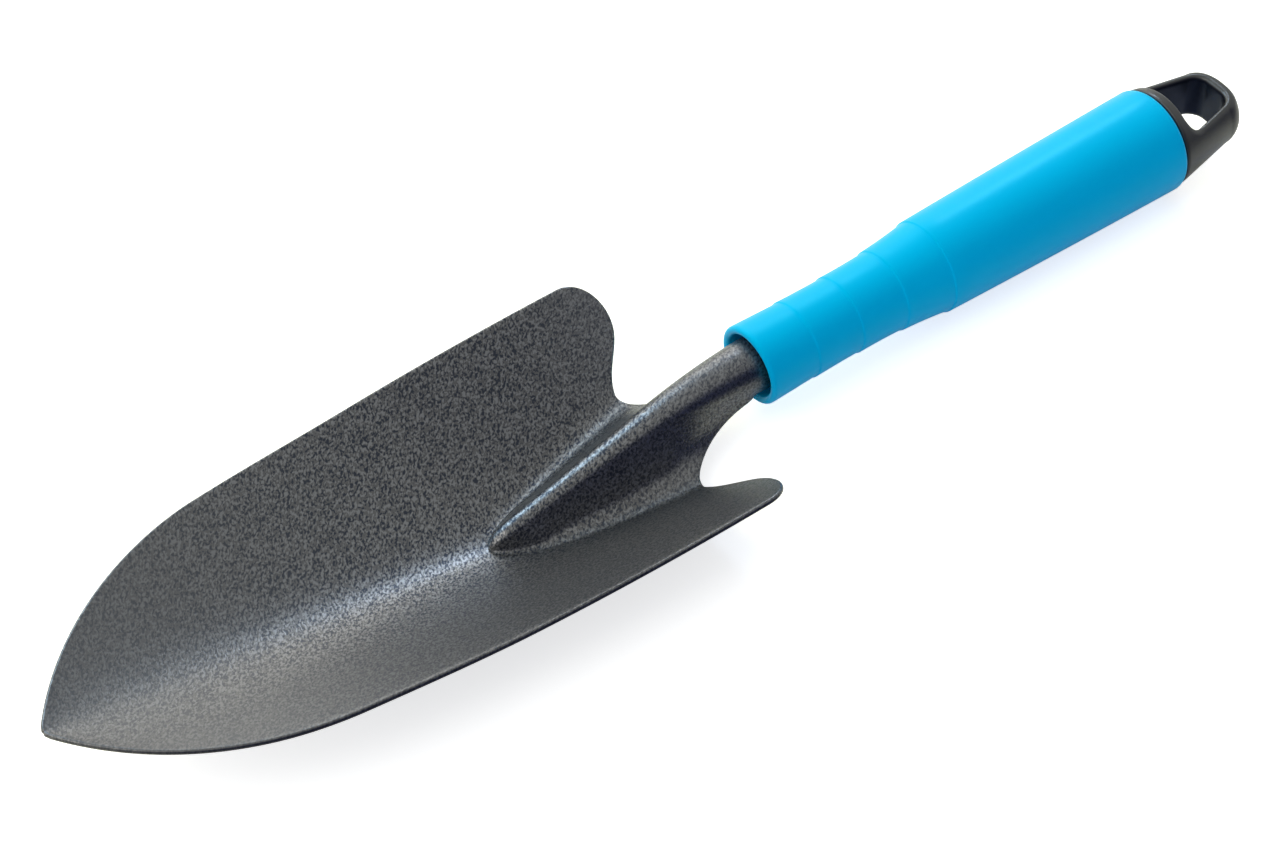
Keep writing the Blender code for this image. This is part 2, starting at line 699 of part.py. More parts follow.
def rounded_corner(corner, before, after, radius, steps=6):
    """Points that round a corner of an outline between the directions of its two edges."""
    here = Vector(corner)
    back = (Vector(before) - here).normalized()
    on = (Vector(after) - here).normalized()
    half = back.angle(on) / 2.0
    centre = here + (back + on).normalized() * radius / sin(half)
    start = here + back * radius * cos(half) / sin(half) - centre
    end = here + on * radius * cos(half) / sin(half) - centre
    turn = start.angle_signed(end)
    points = []
    for i in range(steps + 1):
        angle = turn * i / steps
        points.append((centre.x + start.x * cos(angle) + start.y * sin(angle),
                       centre.y - start.x * sin(angle) + start.y * cos(angle)))
    return points


def eye_outline():
    """The eye seen from above: a trapezium with rounded corners, narrower at its rear."""
    front = loop_start() + EYE_SETBACK
    rear = front + EYE_LENGTH
    corners = [(front, -EYE_FRONT_HALF_WIDTH), (rear, -EYE_REAR_HALF_WIDTH),
               (rear, EYE_REAR_HALF_WIDTH), (front, EYE_FRONT_HALF_WIDTH)]
    outline = []
    for i, corner in enumerate(corners):
        outline += rounded_corner(corner, corners[i - 1], corners[(i + 1) % 4], EYE_CORNER)
    return outline


def build_prism(outline, half_height):
    """A straight prism over an outline, for cutting."""
    mesh = bmesh.new()
    floor = mesh.faces.new([mesh.verts.new((x, y, -half_height)) for x, y in outline])
    raised = bmesh.ops.extrude_face_region(mesh, geom=[floor])
    moved = [item for item in raised["geom"] if isinstance(item, bmesh.types.BMVert)]
    bmesh.ops.translate(mesh, verts=moved, vec=(0.0, 0.0, 2.0 * half_height))
    bmesh.ops.recalc_face_normals(mesh, faces=mesh.faces)
    return mesh


def helper(name, mesh, surface):
    """A solid that only shapes another piece."""
    made = finish(name, mesh, surface)
    made.hide_render = True
    made.display_type = "WIRE"
    return made


def combine(target, tool, operation):
    """Join a helper to a piece, or cut it away."""
    step = target.modifiers.new(tool.name, "BOOLEAN")
    step.operation = operation
    step.object = tool
    step.solver = "EXACT"


def build_end_cap():
    """The cap: a collar and a loop to hang it by, on a hollow plug that snaps into the handle."""
    plastic = material("dark_grey_plastic", (0.060, 0.061, 0.064), 0.45, 0.0)
    cap = finish("end_cap", build_loop_body(), plastic)
    plug_radius = CAP_SOCKET_RADIUS - GAP
    plug_front = collar_front() - PLUG_LENGTH
    # The plug's wall and floor reach into the collar, which closes it
    plug_root = collar_front() + COLLAR_LENGTH / 2.0
    plug_floor = collar_front() + COLLAR_LENGTH / 4.0
    profile = [(plug_floor, 0.0), (plug_floor, plug_radius - PLUG_WALL)]
    profile += [(plug_front, plug_radius - PLUG_WALL), (plug_front, plug_radius)]
    profile += reversed(snap_profile(plug_radius, SNAP_HALF_LENGTH))
    profile += [(plug_root, plug_radius), (plug_root, 0.0)]
    plug = helper("snap_plug", turned_mesh(profile, TURNED_SIDES, closed=False), plastic)
    eye = helper("eye_cutter", build_prism(eye_outline(), 2.0 * COLLAR_RADIUS), plastic)
    combine(cap, plug, "UNION")
    combine(cap, eye, "DIFFERENCE")
    return [cap, plug, eye]


def washer_front():
    return web_front() + WEB_THICKNESS + GAP


def head_front():
    return washer_front() + WASHER_THICKNESS + GAP


def plug_rear():
    return TANG_LENGTH - TANG_PLUG_RECESS


def build_washer(steel):
    """A plain washer behind the handle's web."""
    rear = washer_front() + WASHER_THICKNESS
    profile = [(washer_front(), SCREW_RADIUS + GAP), (washer_front(), WASHER_RADIUS),
               (rear, WASHER_RADIUS), (rear, SCREW_RADIUS + GAP)]
    return finish("screw_washer", turned_mesh(profile, SMALL_SIDES, closed=True), steel)


def build_screw(steel):
    """The screw that draws the tang into the handle, with a cross recess in its head."""
    tip = plug_rear() - SCREW_ENGAGEMENT
    head_rear = head_front() + SCREW_HEAD_HEIGHT
    profile = [(tip, 0.0), (tip, SCREW_TIP_RADIUS), (tip + SCREW_TIP_LENGTH, SCREW_RADIUS)]
    profile += [(head_front(), SCREW_RADIUS), (head_front(), SCREW_HEAD_RADIUS)]
    profile += round_edge(head_rear - SCREW_HEAD_EDGE, SCREW_HEAD_RADIUS - SCREW_HEAD_EDGE,
                          pi / 2.0, 0.0, SCREW_HEAD_EDGE)
    profile.append((head_rear, 0.0))
    screw = finish("retaining_screw", turned_mesh(profile, SMALL_SIDES, closed=False), steel)
    tools = []
    for name, half_y, half_z in (("recess_across", RECESS_HALF_LENGTH, RECESS_HALF_WIDTH),
                                 ("recess_upright", RECESS_HALF_WIDTH, RECESS_HALF_LENGTH)):
        front = head_rear - RECESS_DEPTH
        rear = head_rear + RECESS_DEPTH
        outline = [(front, -half_y), (rear, -half_y), (rear, half_y), (front, half_y)]
        tool = helper(name, build_prism(outline, half_z), steel)
        combine(screw, tool, "DIFFERENCE")
        tools.append(tool)
    return [screw] + tools


def build_tang_plug(steel):
    """The threaded plug in the tang's end: a blind bore for the screw."""
    radius = TANG_RADIUS - SHEET - GAP
    bore = SCREW_RADIUS + GAP
    bore_end = plug_rear() - SCREW_ENGAGEMENT - TANG_PLUG_RUN_OUT
    front = bore_end - TANG_PLUG_END_WALL
    profile = [(front, 0.0), (front, radius - TANG_PLUG_EDGE), (front + TANG_PLUG_EDGE, radius)]
    profile += [(plug_rear(), radius), (plug_rear(), bore), (bore_end, bore), (bore_end, 0.0)]
    return finish("tang_plug", turned_mesh(profile, SMALL_SIDES, closed=False), steel)


def place(pieces):
    """Carry every piece with one empty, so that the trowel lies on z = 0 with its middle at x = 0."""
    depsgraph = bpy.context.evaluated_depsgraph_get()
    corners = []
    for piece in pieces:
        if not piece.hide_render:
            corners += [Vector(corner) for corner in piece.evaluated_get(depsgraph).bound_box]
    carrier = bpy.data.objects.new("trowel", None)
    bpy.context.scene.collection.objects.link(carrier)
    middle = (min(corner.x for corner in corners) + max(corner.x for corner in corners)) / 2.0
    carrier.location = (-middle, 0.0, -min(corner.z for corner in corners))
    for piece in pieces:
        piece.parent = carrier


def main():
    for old in list(bpy.data.objects):
        bpy.data.objects.remove(old)
    steel = material("zinc_plated_steel", (0.62, 0.62, 0.60), 0.35, 1.0)
    pieces = [build_blade(), build_handle()]
    pieces += build_end_cap()
    pieces += [build_tang_plug(steel), build_washer(steel)]
    pieces += build_screw(steel)
    place(pieces)


main()
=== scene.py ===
"""Looks of the planting trowel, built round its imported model.

The fine meshes repeat the construction's sizes, apart from the ridge's bends and some edges, which
are softer here. In them x = 0 is the handle's mouth, the blade reaches forward to -x, the handle
back to +x, and z = 0 is the handle's axis. Each mesh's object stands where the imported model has
the mouth.
"""

from math import asin, atan, atan2, cos, hypot, pi, radians, sin, sqrt, tan

import bmesh
import bpy
import numpy as np
from mathutils import Euler, Matrix, Vector


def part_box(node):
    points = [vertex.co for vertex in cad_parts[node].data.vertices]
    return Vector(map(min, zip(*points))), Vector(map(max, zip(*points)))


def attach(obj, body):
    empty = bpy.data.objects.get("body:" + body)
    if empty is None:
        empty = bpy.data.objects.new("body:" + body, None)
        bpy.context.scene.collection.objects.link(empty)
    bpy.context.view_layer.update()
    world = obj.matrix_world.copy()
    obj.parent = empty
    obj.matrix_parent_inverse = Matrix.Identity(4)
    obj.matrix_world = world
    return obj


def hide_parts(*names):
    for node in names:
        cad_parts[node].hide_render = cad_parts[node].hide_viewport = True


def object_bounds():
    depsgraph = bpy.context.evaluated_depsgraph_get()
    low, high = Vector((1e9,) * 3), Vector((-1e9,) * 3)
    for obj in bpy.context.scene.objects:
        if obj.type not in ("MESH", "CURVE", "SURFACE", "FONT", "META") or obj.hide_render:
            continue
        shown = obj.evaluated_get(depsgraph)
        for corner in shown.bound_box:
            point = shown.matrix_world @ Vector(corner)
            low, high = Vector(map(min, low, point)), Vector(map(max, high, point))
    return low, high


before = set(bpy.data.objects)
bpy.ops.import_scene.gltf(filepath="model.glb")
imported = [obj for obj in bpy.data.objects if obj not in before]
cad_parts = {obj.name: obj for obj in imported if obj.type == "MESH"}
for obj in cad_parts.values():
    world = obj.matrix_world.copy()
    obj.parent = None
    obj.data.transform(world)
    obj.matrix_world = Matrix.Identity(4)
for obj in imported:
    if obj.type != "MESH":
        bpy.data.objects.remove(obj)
CAD_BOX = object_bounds()

# Place of the handle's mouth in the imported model
HANDLE_LOW, HANDLE_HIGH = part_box("handle")
MOUTH = Vector((HANDLE_LOW.x, 0.0, (HANDLE_LOW.z + HANDLE_HIGH.z) / 2.0))

# The gap that neighbouring pieces keep
GAP = 0.0003

# Blade, seen from above
TIP_REACH = 0.1794            # from the handle's mouth forward to the tip
TIP_RADIUS = 0.0029
TIP_SWEEP = radians(37)       # how far the tip's circle turns before the nose's arc
NOSE_LENGTH = 0.0555          # from the tip back to where the sides run nearly straight
BLADE_HALF_WIDTH = 0.0395
WIDEST_REACH = 0.0299         # from the mouth forward to the widest place
SIDE_RADIUS = 0.885           # the long sides are nearly straight arcs
SHEET = 0.0012
RIM_ROUNDING = 0.00045        # how far the rounded rim stands out past the flat sheet

# Blade, seen from the side: its trough is a V with a rounded bottom, deepest at the heel
RIM_REAR_HEIGHT = 0.0084
RIM_FRONT_HEIGHT = 0.0100
RIM_RISE_START = 0.0829       # from the mouth forward
RIM_RISE_END = 0.1349
HEEL_REACH = 0.0469
HEEL_DEPTH = 0.0173
HEEL_BLEND = 0.0015
TIP_HEIGHT = 0.0097
TROUGH_ROUNDING = 0.0115      # half width of the rounded bottom ahead of the ridge
HEEL_ROUNDING = 0.0058

# Raised ridge that stiffens the blade and runs back into the tang
TOE_REACH = 0.0719            # where the ridge starts, with a blunt nose
TOE_NOSE = 0.0050
TOE_CREST_HEIGHT = -0.0095    # where the crest's straight ramp would start without its nose
CREST_LEVELLING = 0.0041      # how widely the ramp is rounded where it turns level
CREST_RADIUS = 0.0026
CREST_WIDENING = 1.5
TOE_FLANK = radians(42)       # how steeply its sides fall at the toe
TOE_FLANK_RUN = 0.0180        # from the toe back to where they are at their steepest
RIDGE_FLANK = radians(52)
VALLEY_RADIUS = 0.0050        # of the bend where the flank meets the trough
VALLEY_FALL = radians(5)

# Neck: the ridge opens into the tang, between the notches that free it from the shoulders
NOTCH_REACH = 0.0249
NOTCH_HALF_WIDTH = 0.0163
NOTCH_PULL = 0.0032           # how squarely the notch's round bottom starts
NECK_TURN_REACH = 0.0309      # from here the flanks turn upright
NECK_FLANK = radians(92)
NECK_REACH = 0.0049           # from here the sheet curls into the tang's tube
THROAT_REACH = 0.0134
THROAT_EDGE = 0.0154          # from the crest round to the neck's free edge, along the sheet
THROAT_PULL = 0.0070
THROAT_TAPER = 0.20
SHOULDER_RADIUS = 0.0083
SHOULDER_SWEEP = radians(54.5)

# Tang
TANG_RADIUS = 0.0065
TANG_CURL = radians(185)      # the sheet turns past its seam
TANG_SEAM = 0.0014
TANG_LENGTH = 0.0561          # inside the handle

# Handle
HANDLE_LENGTH = 0.1228
MOUTH_CLEARANCE = 0.0014      # round the tang inside the mouth
MOUTH_BORE_DEPTH = 0.0046
LIP_RADIUS = 0.00098          # rounds the mouth's lip outside and inside
FIRST_RING = 0.0132
RING_PITCH = 0.01277
RING_RUN = 0.0005             # length of each ring's small step
# Radius at the front and at the rear of each stretch between rings
STRETCHES = (
    (0.00990, 0.00950),
    (0.00972, 0.00955),
    (0.00980, 0.01002),
    (0.01032, 0.01152),
    (0.01186, 0.01340),
)
STRETCH_SAG = (0.0, 0.00005, 0.00010, 0.00012, -0.00010)
REAR_ROUNDING = 0.0012
WEB_THICKNESS = 0.0040
CAVITY_RADIUS = 0.0095
CAP_SOCKET_RADIUS = 0.0112
CAP_SOCKET_DEPTH = 0.0140

# End cap: a cone behind a short collar, cut flat above and below, with an eye through it
COLLAR_RADIUS = 0.0130
COLLAR_LENGTH = 0.0033
COLLAR_EDGE = 0.0004
LOOP_LENGTH = 0.0193          # behind the collar
LOOP_END_RADIUS = 0.0097      # of the cone, where its rear corner's rounding starts
LOOP_CORNER = 0.0053
LOOP_HALF_HEIGHT = 0.0065
SADDLE_RADIUS = 0.0040        # of the hollow from the collar down to the flats
EYE_SETBACK = 0.0002          # from the collar's rear face to the eye's front wall
EYE_LENGTH = 0.0159
EYE_FRONT_HALF_WIDTH = 0.0091
EYE_REAR_HALF_WIDTH = 0.0054
EYE_CORNER = 0.0030
PLUG_LENGTH = 0.0120
PLUG_WALL = 0.0018
SNAP_DEPTH = 0.0070           # from the handle's rear end forward to the snap rib
SNAP_HALF_LENGTH = 0.0006
SNAP_HEIGHT = 0.0004
LOOP_EDGE = 0.0012            # how widely the edges between the cone and its flats are rounded
EYE_EDGE = 0.0014             # and those of the eye
PLUG_ROOT_SHARE = 0.5         # of the collar's length, where the plug ends inside it
BORE_END_SHARE = 0.25         # and where the plug's bore ends

# Screw's room in the handle
SCREW_RADIUS = 0.0025

# How finely the meshes are cut
FIRST_STATION = 0.00003       # behind the inner outline's tip
NOSE_COLUMNS = 100
NOSE_CROWDING = 1.15          # above 1, stations lie closer together at the start
RIDGE_COLUMNS = 64
RIDGE_CROWDING = 1.3
NECK_COLUMNS = 26
CURL_COLUMNS = 26
TANG_COLUMNS = 8
SHOULDER_COLUMNS = 18
SHOULDER_SHARE = 0.35         # of the shoulder's arc, along its side columns
RIDGE_ROWS = 44
ROW_CROWDING = 1.15
WING_ROWS = 26
FRONT_SPLIT = 0.15            # of the blade's half width, where rows divide ahead of the ridge
SPLIT_BLEND = 0.0015
LARGEST_SPLIT = 0.5           # of the half width, near the tip
BEND_STEPS = 40               # of the fine section that rows are read from
VALLEY_STEPS = 14
WING_STEPS = 120
RIM_STEPS = 8                 # round the sheet's rim
NORMAL_PASSES = 3             # of smoothing for the directions in which the sheet gets its thickness
SLOPE_STEP = 0.00002
FLANK_PASSES = 4              # of the search for a flank that meets the valley
FLANK_MARGIN = radians(2)
HANDLE_SIDES = 180
STRETCH_STEPS = 16
RING_STEPS = 6
EDGE_STEPS = 6
CAP_VOXEL = 0.0003
CAP_PASSES = 8                # of moving the cap's points onto its exact surface
GRADIENT_STEP = 0.00002
LEAST_STEEPNESS = 0.2         # of the distance's slope, squared, so that no point jumps far
EYE_WALL = "eye_wall"         # the mesh's mark on the eye's wall, where shade is painted
EYE_WALL_BLEND = 0.0003
SHARP_ANGLE = radians(40)     # edges that turn more than this are shaded sharp
MERGE = 0.000001              # points closer than this are one point

# Surfaces, with their textures in millimetres and their colours linear. A ramp changes smoothly
# between its first two values, from 0 to 1 or from its third value to its fourth.
MILLIMETRES = 1000.0          # in a metre
GRAIN_RANGE = (0.3, 0.7)      # between which most of a noise's values lie
SWELL_DETAIL = 1.0            # of a plain noise
RICH_DETAIL = 3.0             # and of one with much finer noise in it

# The blade's paint: strokes, lighter and darker, over faint clouds
STROKE_ANGLE = radians(53)    # from the trowel's length
STROKE_STRETCH = 1.6          # length over width
STROKE_PITCH = 0.50
STROKE_DETAIL = 0.5
STROKE_WAVER = 0.6
STROKE_RELIEF = 0.052
LIGHT_STROKE = (0.55, 0.63)   # between these values of the noise a lighter stroke begins
DARK_STROKE = (0.45, 0.38)    # and a darker one
LIGHT_STROKE_COLOUR = (0.238, 0.238, 0.238)
DARK_STROKE_COLOUR = (0.036, 0.042, 0.056)
BOLD_ALONG = (-165.0, -85.0, 0.40, 1.0)  # ramp in x of how bold the strokes are
BOLD_ACROSS = (-25.0, 0.0, 0.55, 1.0)    # and in y
PAINT_CLOUDS = 9.0
PAINT_COLOURS = ((0.120, 0.118, 0.116), (0.144, 0.142, 0.139))
NECK_START = -45.0            # between these places along the trowel, painted light makes the paint paler
NECK_END = -10.0
NECK_PAINTED_LIGHT_COLOUR = (0.166, 0.166, 0.168)
NECK_DARK_STROKES = 0.60      # how much of the darker strokes the painted light leaves there
PAINT_METAL = 0.98
PAINT_ROUGHNESS = (0.35, 0.65, 0.42, 0.36)  # a ramp over the strokes
PAINT_COAT = 0.30
PAINT_COAT_ROUGHNESS = 0.22

# The handle's plastic
CYAN_CLOUDS = 14.0
CYAN_COLOURS = ((0.0, 0.475, 0.91), (0.0, 0.495, 0.95))
CYAN_GLOSS = 0.15
CYAN_GLOSS_TINT = (0.0, 0.90, 0.90, 1.0)
CYAN_ROUGHNESS = (0.28, 0.34)
CYAN_SWELL_PITCH = 5.0
CYAN_SWELL = 0.03
CYAN_GRAIN_PITCH = 0.25
CYAN_GRAIN = 0.0015

# The end cap's plastic, and the shade painted inside its eye
DARK_CLOUDS = 6.0
DARK_COLOURS = ((0.030, 0.030, 0.031), (0.040, 0.040, 0.041))
DARK_GLOSS = 0.65
DARK_ROUGHNESS = (0.28, 0.38)
DARK_SWELL_PITCH = 3.0
DARK_SWELL = 0.02
DARK_GRAIN_PITCH = 0.22
DARK_GRAIN = 0.006
EYE_WALL_PAINTED_SHADE_COLOUR = (0.003, 0.005, 0.012)
EYE_WALL_PAINTED_SHADE_TINT = (0.20, 0.30, 0.70)

# The inner pieces' plated steel
ZINC_CLOUDS = 1.5
ZINC_COLOURS = ((0.55, 0.55, 0.53), (0.66, 0.66, 0.63))
ZINC_ROUGHNESS = (0.28, 0.42)
ZINC_GRAIN_PITCH = 0.12
ZINC_GRAIN = 0.01

# Camera, from the handle's mouth, and the studio round it
CAMERA_PLACE = Vector((-0.27967, -0.36269, 0.50501))
CAMERA_TURN = (radians(41.101), radians(1.308), radians(-36.012))  # about x, then y, then z
CAMERA_LENS = 84.375          # millimetres
CAMERA_SENSOR = 36.0
FLOOR_SIZE = 3.0
FLOOR_SQUARES = 8
FLOOR_DROP = 0.0001           # below the trowel's lowest point
FLOOR_COLOUR = (0.90, 0.90, 0.90)
FLOOR_GLOW = 0.68             # added for the camera only
FLOOR_FRONT = (-0.01, -0.08)  # between these places in y it turns dark for gloss
FLOOR_FRONT_COLOUR = (0.05, 0.06, 0.13)
WHITE = (1.0, 1.0, 1.0)
ROOM_COLOUR = (0.90, 0.93, 0.94)
ROOM_FRONT_COLOUR = (0.002, 0.02, 0.16)
ROOM_LEVEL = 0.64
# Ramps over the y and z of a direction: where the room's front side begins
ROOM_FRONT = (-0.25, -0.85, 0.0, 0.70)
ROOM_GLOSS_FRONT = (-0.38, -0.70)
ROOM_GLOSS_FRONT_HEIGHT = (0.85, 0.50)

# Sockets of Blender's Mix node when it mixes colours
MIX_COLOUR_A = 6
MIX_COLOUR_B = 7
MIX_COLOUR_RESULT = 2


def smooth_step(start, end, x):
    """From 0 at start to 1 at end, level at both."""
    t = min(1.0, max(0.0, (x - start) / (end - start)))
    return t * t * (3.0 - 2.0 * t)


def soft_max(a, b, blend):
    """The larger of two values, with the change from one to the other rounded."""
    return (a + b + hypot(a - b, blend)) / 2.0


# Outline of the blade. An inset moves it inwards, to leave room for the rounded rim.

def side_half_width(x, inset=0.0):
    """Half width along the long, nearly straight sides."""
    ahead = max(0.0, -WIDEST_REACH - x)
    return BLADE_HALF_WIDTH - SIDE_RADIUS + sqrt((SIDE_RADIUS - inset)**2 - ahead**2)


def tip_join():
    """Where the tip's circle hands over to the nose's arc."""
    return -TIP_REACH + TIP_RADIUS * (1.0 - cos(TIP_SWEEP)), TIP_RADIUS * sin(TIP_SWEEP)


def nose_arc():
    """The nose's arc: where it starts, its heading there, its centre (x, y) and its radius."""
    start_x = -TIP_REACH + NOSE_LENGTH
    start_y = side_half_width(start_x)
    heading = asin((-WIDEST_REACH - start_x) / SIDE_RADIUS)
    end_x, end_y = tip_join()
    across = start_y - end_y
    along = start_x - end_x
    bend = atan2(across, along) - heading
    radius = hypot(across, along) / (2.0 * sin(bend))
    return start_x, heading, start_x + radius * sin(heading), start_y - radius * cos(heading), radius


def half_width(x, inset=0.0):
    """Half width of the blade at a station."""
    start_x, heading, centre_x, centre_y, radius = nose_arc()
    if x >= start_x + inset * sin(heading):
        return side_half_width(x, inset)
    if x > tip_join()[0] + inset * cos(TIP_SWEEP):
        return centre_y + sqrt((radius - inset)**2 - (x - centre_x)**2)
    past_centre = x + TIP_REACH - TIP_RADIUS
    return sqrt(max(0.0, (TIP_RADIUS - inset)**2 - past_centre**2))


# The trough that the sheet is pressed into

def rim_z(x):
    """Height of the blade's edge."""
    rise = smooth_step(-RIM_RISE_START, -RIM_RISE_END, x)
    return RIM_REAR_HEIGHT + (RIM_FRONT_HEIGHT - RIM_REAR_HEIGHT) * rise


def bottom_z(x):
    """Height of the trough's bottom: a straight rise from the heel to the tip."""
    slope = (TIP_HEIGHT + HEEL_DEPTH) / (TIP_REACH - HEEL_REACH)
    return soft_max(-HEEL_DEPTH + slope * (-HEEL_REACH - x), -HEEL_DEPTH, HEEL_BLEND)


def trough_z(x, y):
    """Height of the trough: two flat sides that meet in a rounded bottom."""
    rounding = HEEL_ROUNDING
    rounding += (TROUGH_ROUNDING - HEEL_ROUNDING) * smooth_step(-HEEL_REACH, -TOE_REACH, x)
    climb = hypot(y, rounding) - rounding
    full_climb = hypot(half_width(x), rounding) - rounding
    return bottom_z(x) + (rim_z(x) - bottom_z(x)) * climb / full_climb


def trough_slope(x, y):
    """How steeply the trough climbs sideways."""
    return (trough_z(x, y + SLOPE_STEP) - trough_z(x, y - SLOPE_STEP)) / (2.0 * SLOPE_STEP)


# The ridge and the tang

def crest_z(x):
    """Height of the ridge's crest: a blunt nose, then a ramp that turns level at the mouth."""
    slope = (TANG_RADIUS + CREST_LEVELLING - TOE_CREST_HEIGHT) / TOE_REACH
    ramp = TOE_CREST_HEIGHT + slope * (x + TOE_REACH)
    near = max(0.0, 1.0 - abs(ramp - TANG_RADIUS) / CREST_LEVELLING)
    ramp = min(ramp, TANG_RADIUS) - CREST_LEVELLING * near**2 / 4.0
    nose = min(1.0, (x + TOE_REACH) / TOE_NOSE)
    return bottom_z(x) + (ramp - bottom_z(x)) * sqrt(nose * (2.0 - nose))


def valley_y(x):
    """How far from the middle the ridge's flank meets the trough: a parabola from the toe."""
    past_toe = max(0.0, x + TOE_REACH)
    return NOTCH_HALF_WIDTH * sqrt(past_toe / (TOE_REACH - NOTCH_REACH))


def crest_radius(x):
    """Radius across the crest: small at the toe, the tang's own at the handle's mouth."""
    t = min(1.0, (x + TOE_REACH) / TOE_REACH)
    return min(CREST_RADIUS + (TANG_RADIUS - CREST_RADIUS) * t**CREST_WIDENING, valley_y(x) / 2.0)


def tang_curl(x):
    """From 0 where the neck is still open to 1 where the tang is a tube."""
    return smooth_step(-NECK_REACH, MOUTH_BORE_DEPTH, x)


def flank_angle(x):
    """How steeply the ridge's flank falls. Past a right angle it turns under the tang."""
    angle = TOE_FLANK
    angle += (RIDGE_FLANK - TOE_FLANK) * smooth_step(-TOE_REACH, TOE_FLANK_RUN - TOE_REACH, x)
    angle += (NECK_FLANK - RIDGE_FLANK) * smooth_step(-NECK_TURN_REACH, -NECK_REACH, x)
    angle += (TANG_CURL - NECK_FLANK) * tang_curl(x)
    return angle


def bend_points(start, radius, heading, new_heading, steps):
    """Points of a bend in the sheet from a point. Headings are how far it falls below level."""
    side = 1.0 if new_heading > heading else -1.0
    centre_y = start[0] - side * radius * sin(heading)
    centre_z = start[1] - side * radius * cos(heading)
    points = []
    for i in range(steps + 1):
        angle = heading + (new_heading - heading) * i / steps
        points.append((centre_y + side * radius * sin(angle), centre_z + side * radius * cos(angle)))
    return points


def ridge_flank(x):
    """The flank's angle, its straight run and its foot's radius, so that it meets the valley.

    Also gives how steeply the trough climbs from there.
    """
    climb = atan(trough_slope(x, valley_y(x)))
    trim = VALLEY_RADIUS * tan((climb + VALLEY_FALL) / 2.0)
    foot_y = valley_y(x) - trim * cos(VALLEY_FALL)
    foot_z = trough_z(x, valley_y(x)) + trim * sin(VALLEY_FALL)
    radius = crest_radius(x)
    flank = flank_angle(x)
    for _ in range(FLANK_PASSES):
        across = foot_y - radius * sin(flank)
        down = crest_z(x) - radius * (1.0 - cos(flank)) - foot_z
        chord = atan2(down, across)
        # A steeper flank would overshoot the valley, and a flatter one would pass above it
        flank = min(2.0 * chord - VALLEY_FALL, max(chord + FLANK_MARGIN, flank))
    across = foot_y - radius * sin(flank)
    down = crest_z(x) - radius * (1.0 - cos(flank)) - foot_z
    share = cos(flank - VALLEY_FALL) - 1.0
    run = (across * (cos(VALLEY_FALL) - cos(flank)) - down * (sin(flank) - sin(VALLEY_FALL))) / share
    return flank, run, (down * cos(flank) - across * sin(flank)) / share, climb


def half_section(x):
    """Half of the sheet's upper face at one station, from the middle out, as (y, z) points."""
    width = half_width(x)
    if x <= -TOE_REACH:
        stops = [width * i / WING_STEPS for i in range(WING_STEPS + 1)]
        return [(y, trough_z(x, y)) for y in stops]
    flank, run, foot_radius, climb = ridge_flank(min(x, -NOTCH_REACH))
    if x > -NOTCH_REACH:
        flank = flank_angle(x)
        run *= 1.0 - smooth_step(-NOTCH_REACH, 0.0, x)
    points = bend_points((0.0, crest_z(x)), crest_radius(x), 0.0, flank, BEND_STEPS)
    y, z = points[-1]
    foot = (y + run * cos(flank), z - run * sin(flank))
    points += bend_points(foot, foot_radius, flank, VALLEY_FALL, BEND_STEPS)
    points += bend_points(points[-1], VALLEY_RADIUS, VALLEY_FALL, -climb, VALLEY_STEPS)
    start_y, start_z = points[-1]
    for i in range(1, WING_STEPS + 1):
        y = start_y + (width - start_y) * i / WING_STEPS
        z = trough_z(x, y) if x <= -NOTCH_REACH else start_z + (y - start_y) * tan(climb)
        points.append((y, z))
    return points


class Section:
    """One half section, read by the distance along the sheet from its middle."""

    def __init__(self, x):
        self.x = x
        self.points = np.array(half_section(x))
        steps = np.diff(self.points, axis=0)
        self.lengths = np.concatenate(([0.0], np.cumsum(np.hypot(steps[:, 0], steps[:, 1]))))

    def at_length(self, length):
        """The point at a distance along the sheet."""
        y = np.interp(length, self.lengths, self.points[:, 0])
        z = np.interp(length, self.lengths, self.points[:, 1])
        return Vector((self.x, y, z))

    def length_at(self, y):
        """The distance along the sheet to the last place that is y from the middle."""
        index = len(self.points) - 1
        while index > 1 and self.points[index - 1][0] > y:
            index -= 1
        y0, y1 = self.points[index - 1][0], self.points[index][0]
        t = (y - y0) / (y1 - y0)
        return self.lengths[index - 1] + (self.lengths[index] - self.lengths[index - 1]) * t

    def height_at(self, y):
        """The height of the sheet at y, out on the wing."""
        return self.at_length(self.length_at(y)).z


def bezier(p0, p1, p2, p3, t):
    """A point of a cubic curve."""
    s = 1.0 - t
    return tuple(s**3 * a + 3 * s * s * t * b + 3 * s * t * t * c + t**3 * d
                 for a, b, c, d in zip(p0, p1, p2, p3))


def wing_start(x):
    """Where the ridge's rows end and the wing's rows begin: along the valley, once there is one."""
    return soft_max(valley_y(x), FRONT_SPLIT * half_width(x), SPLIT_BLEND)


def rear_line():
    """The station at which the blade's grid ends, and the notch and the shoulder start."""
    return -NOTCH_REACH - RIM_ROUNDING


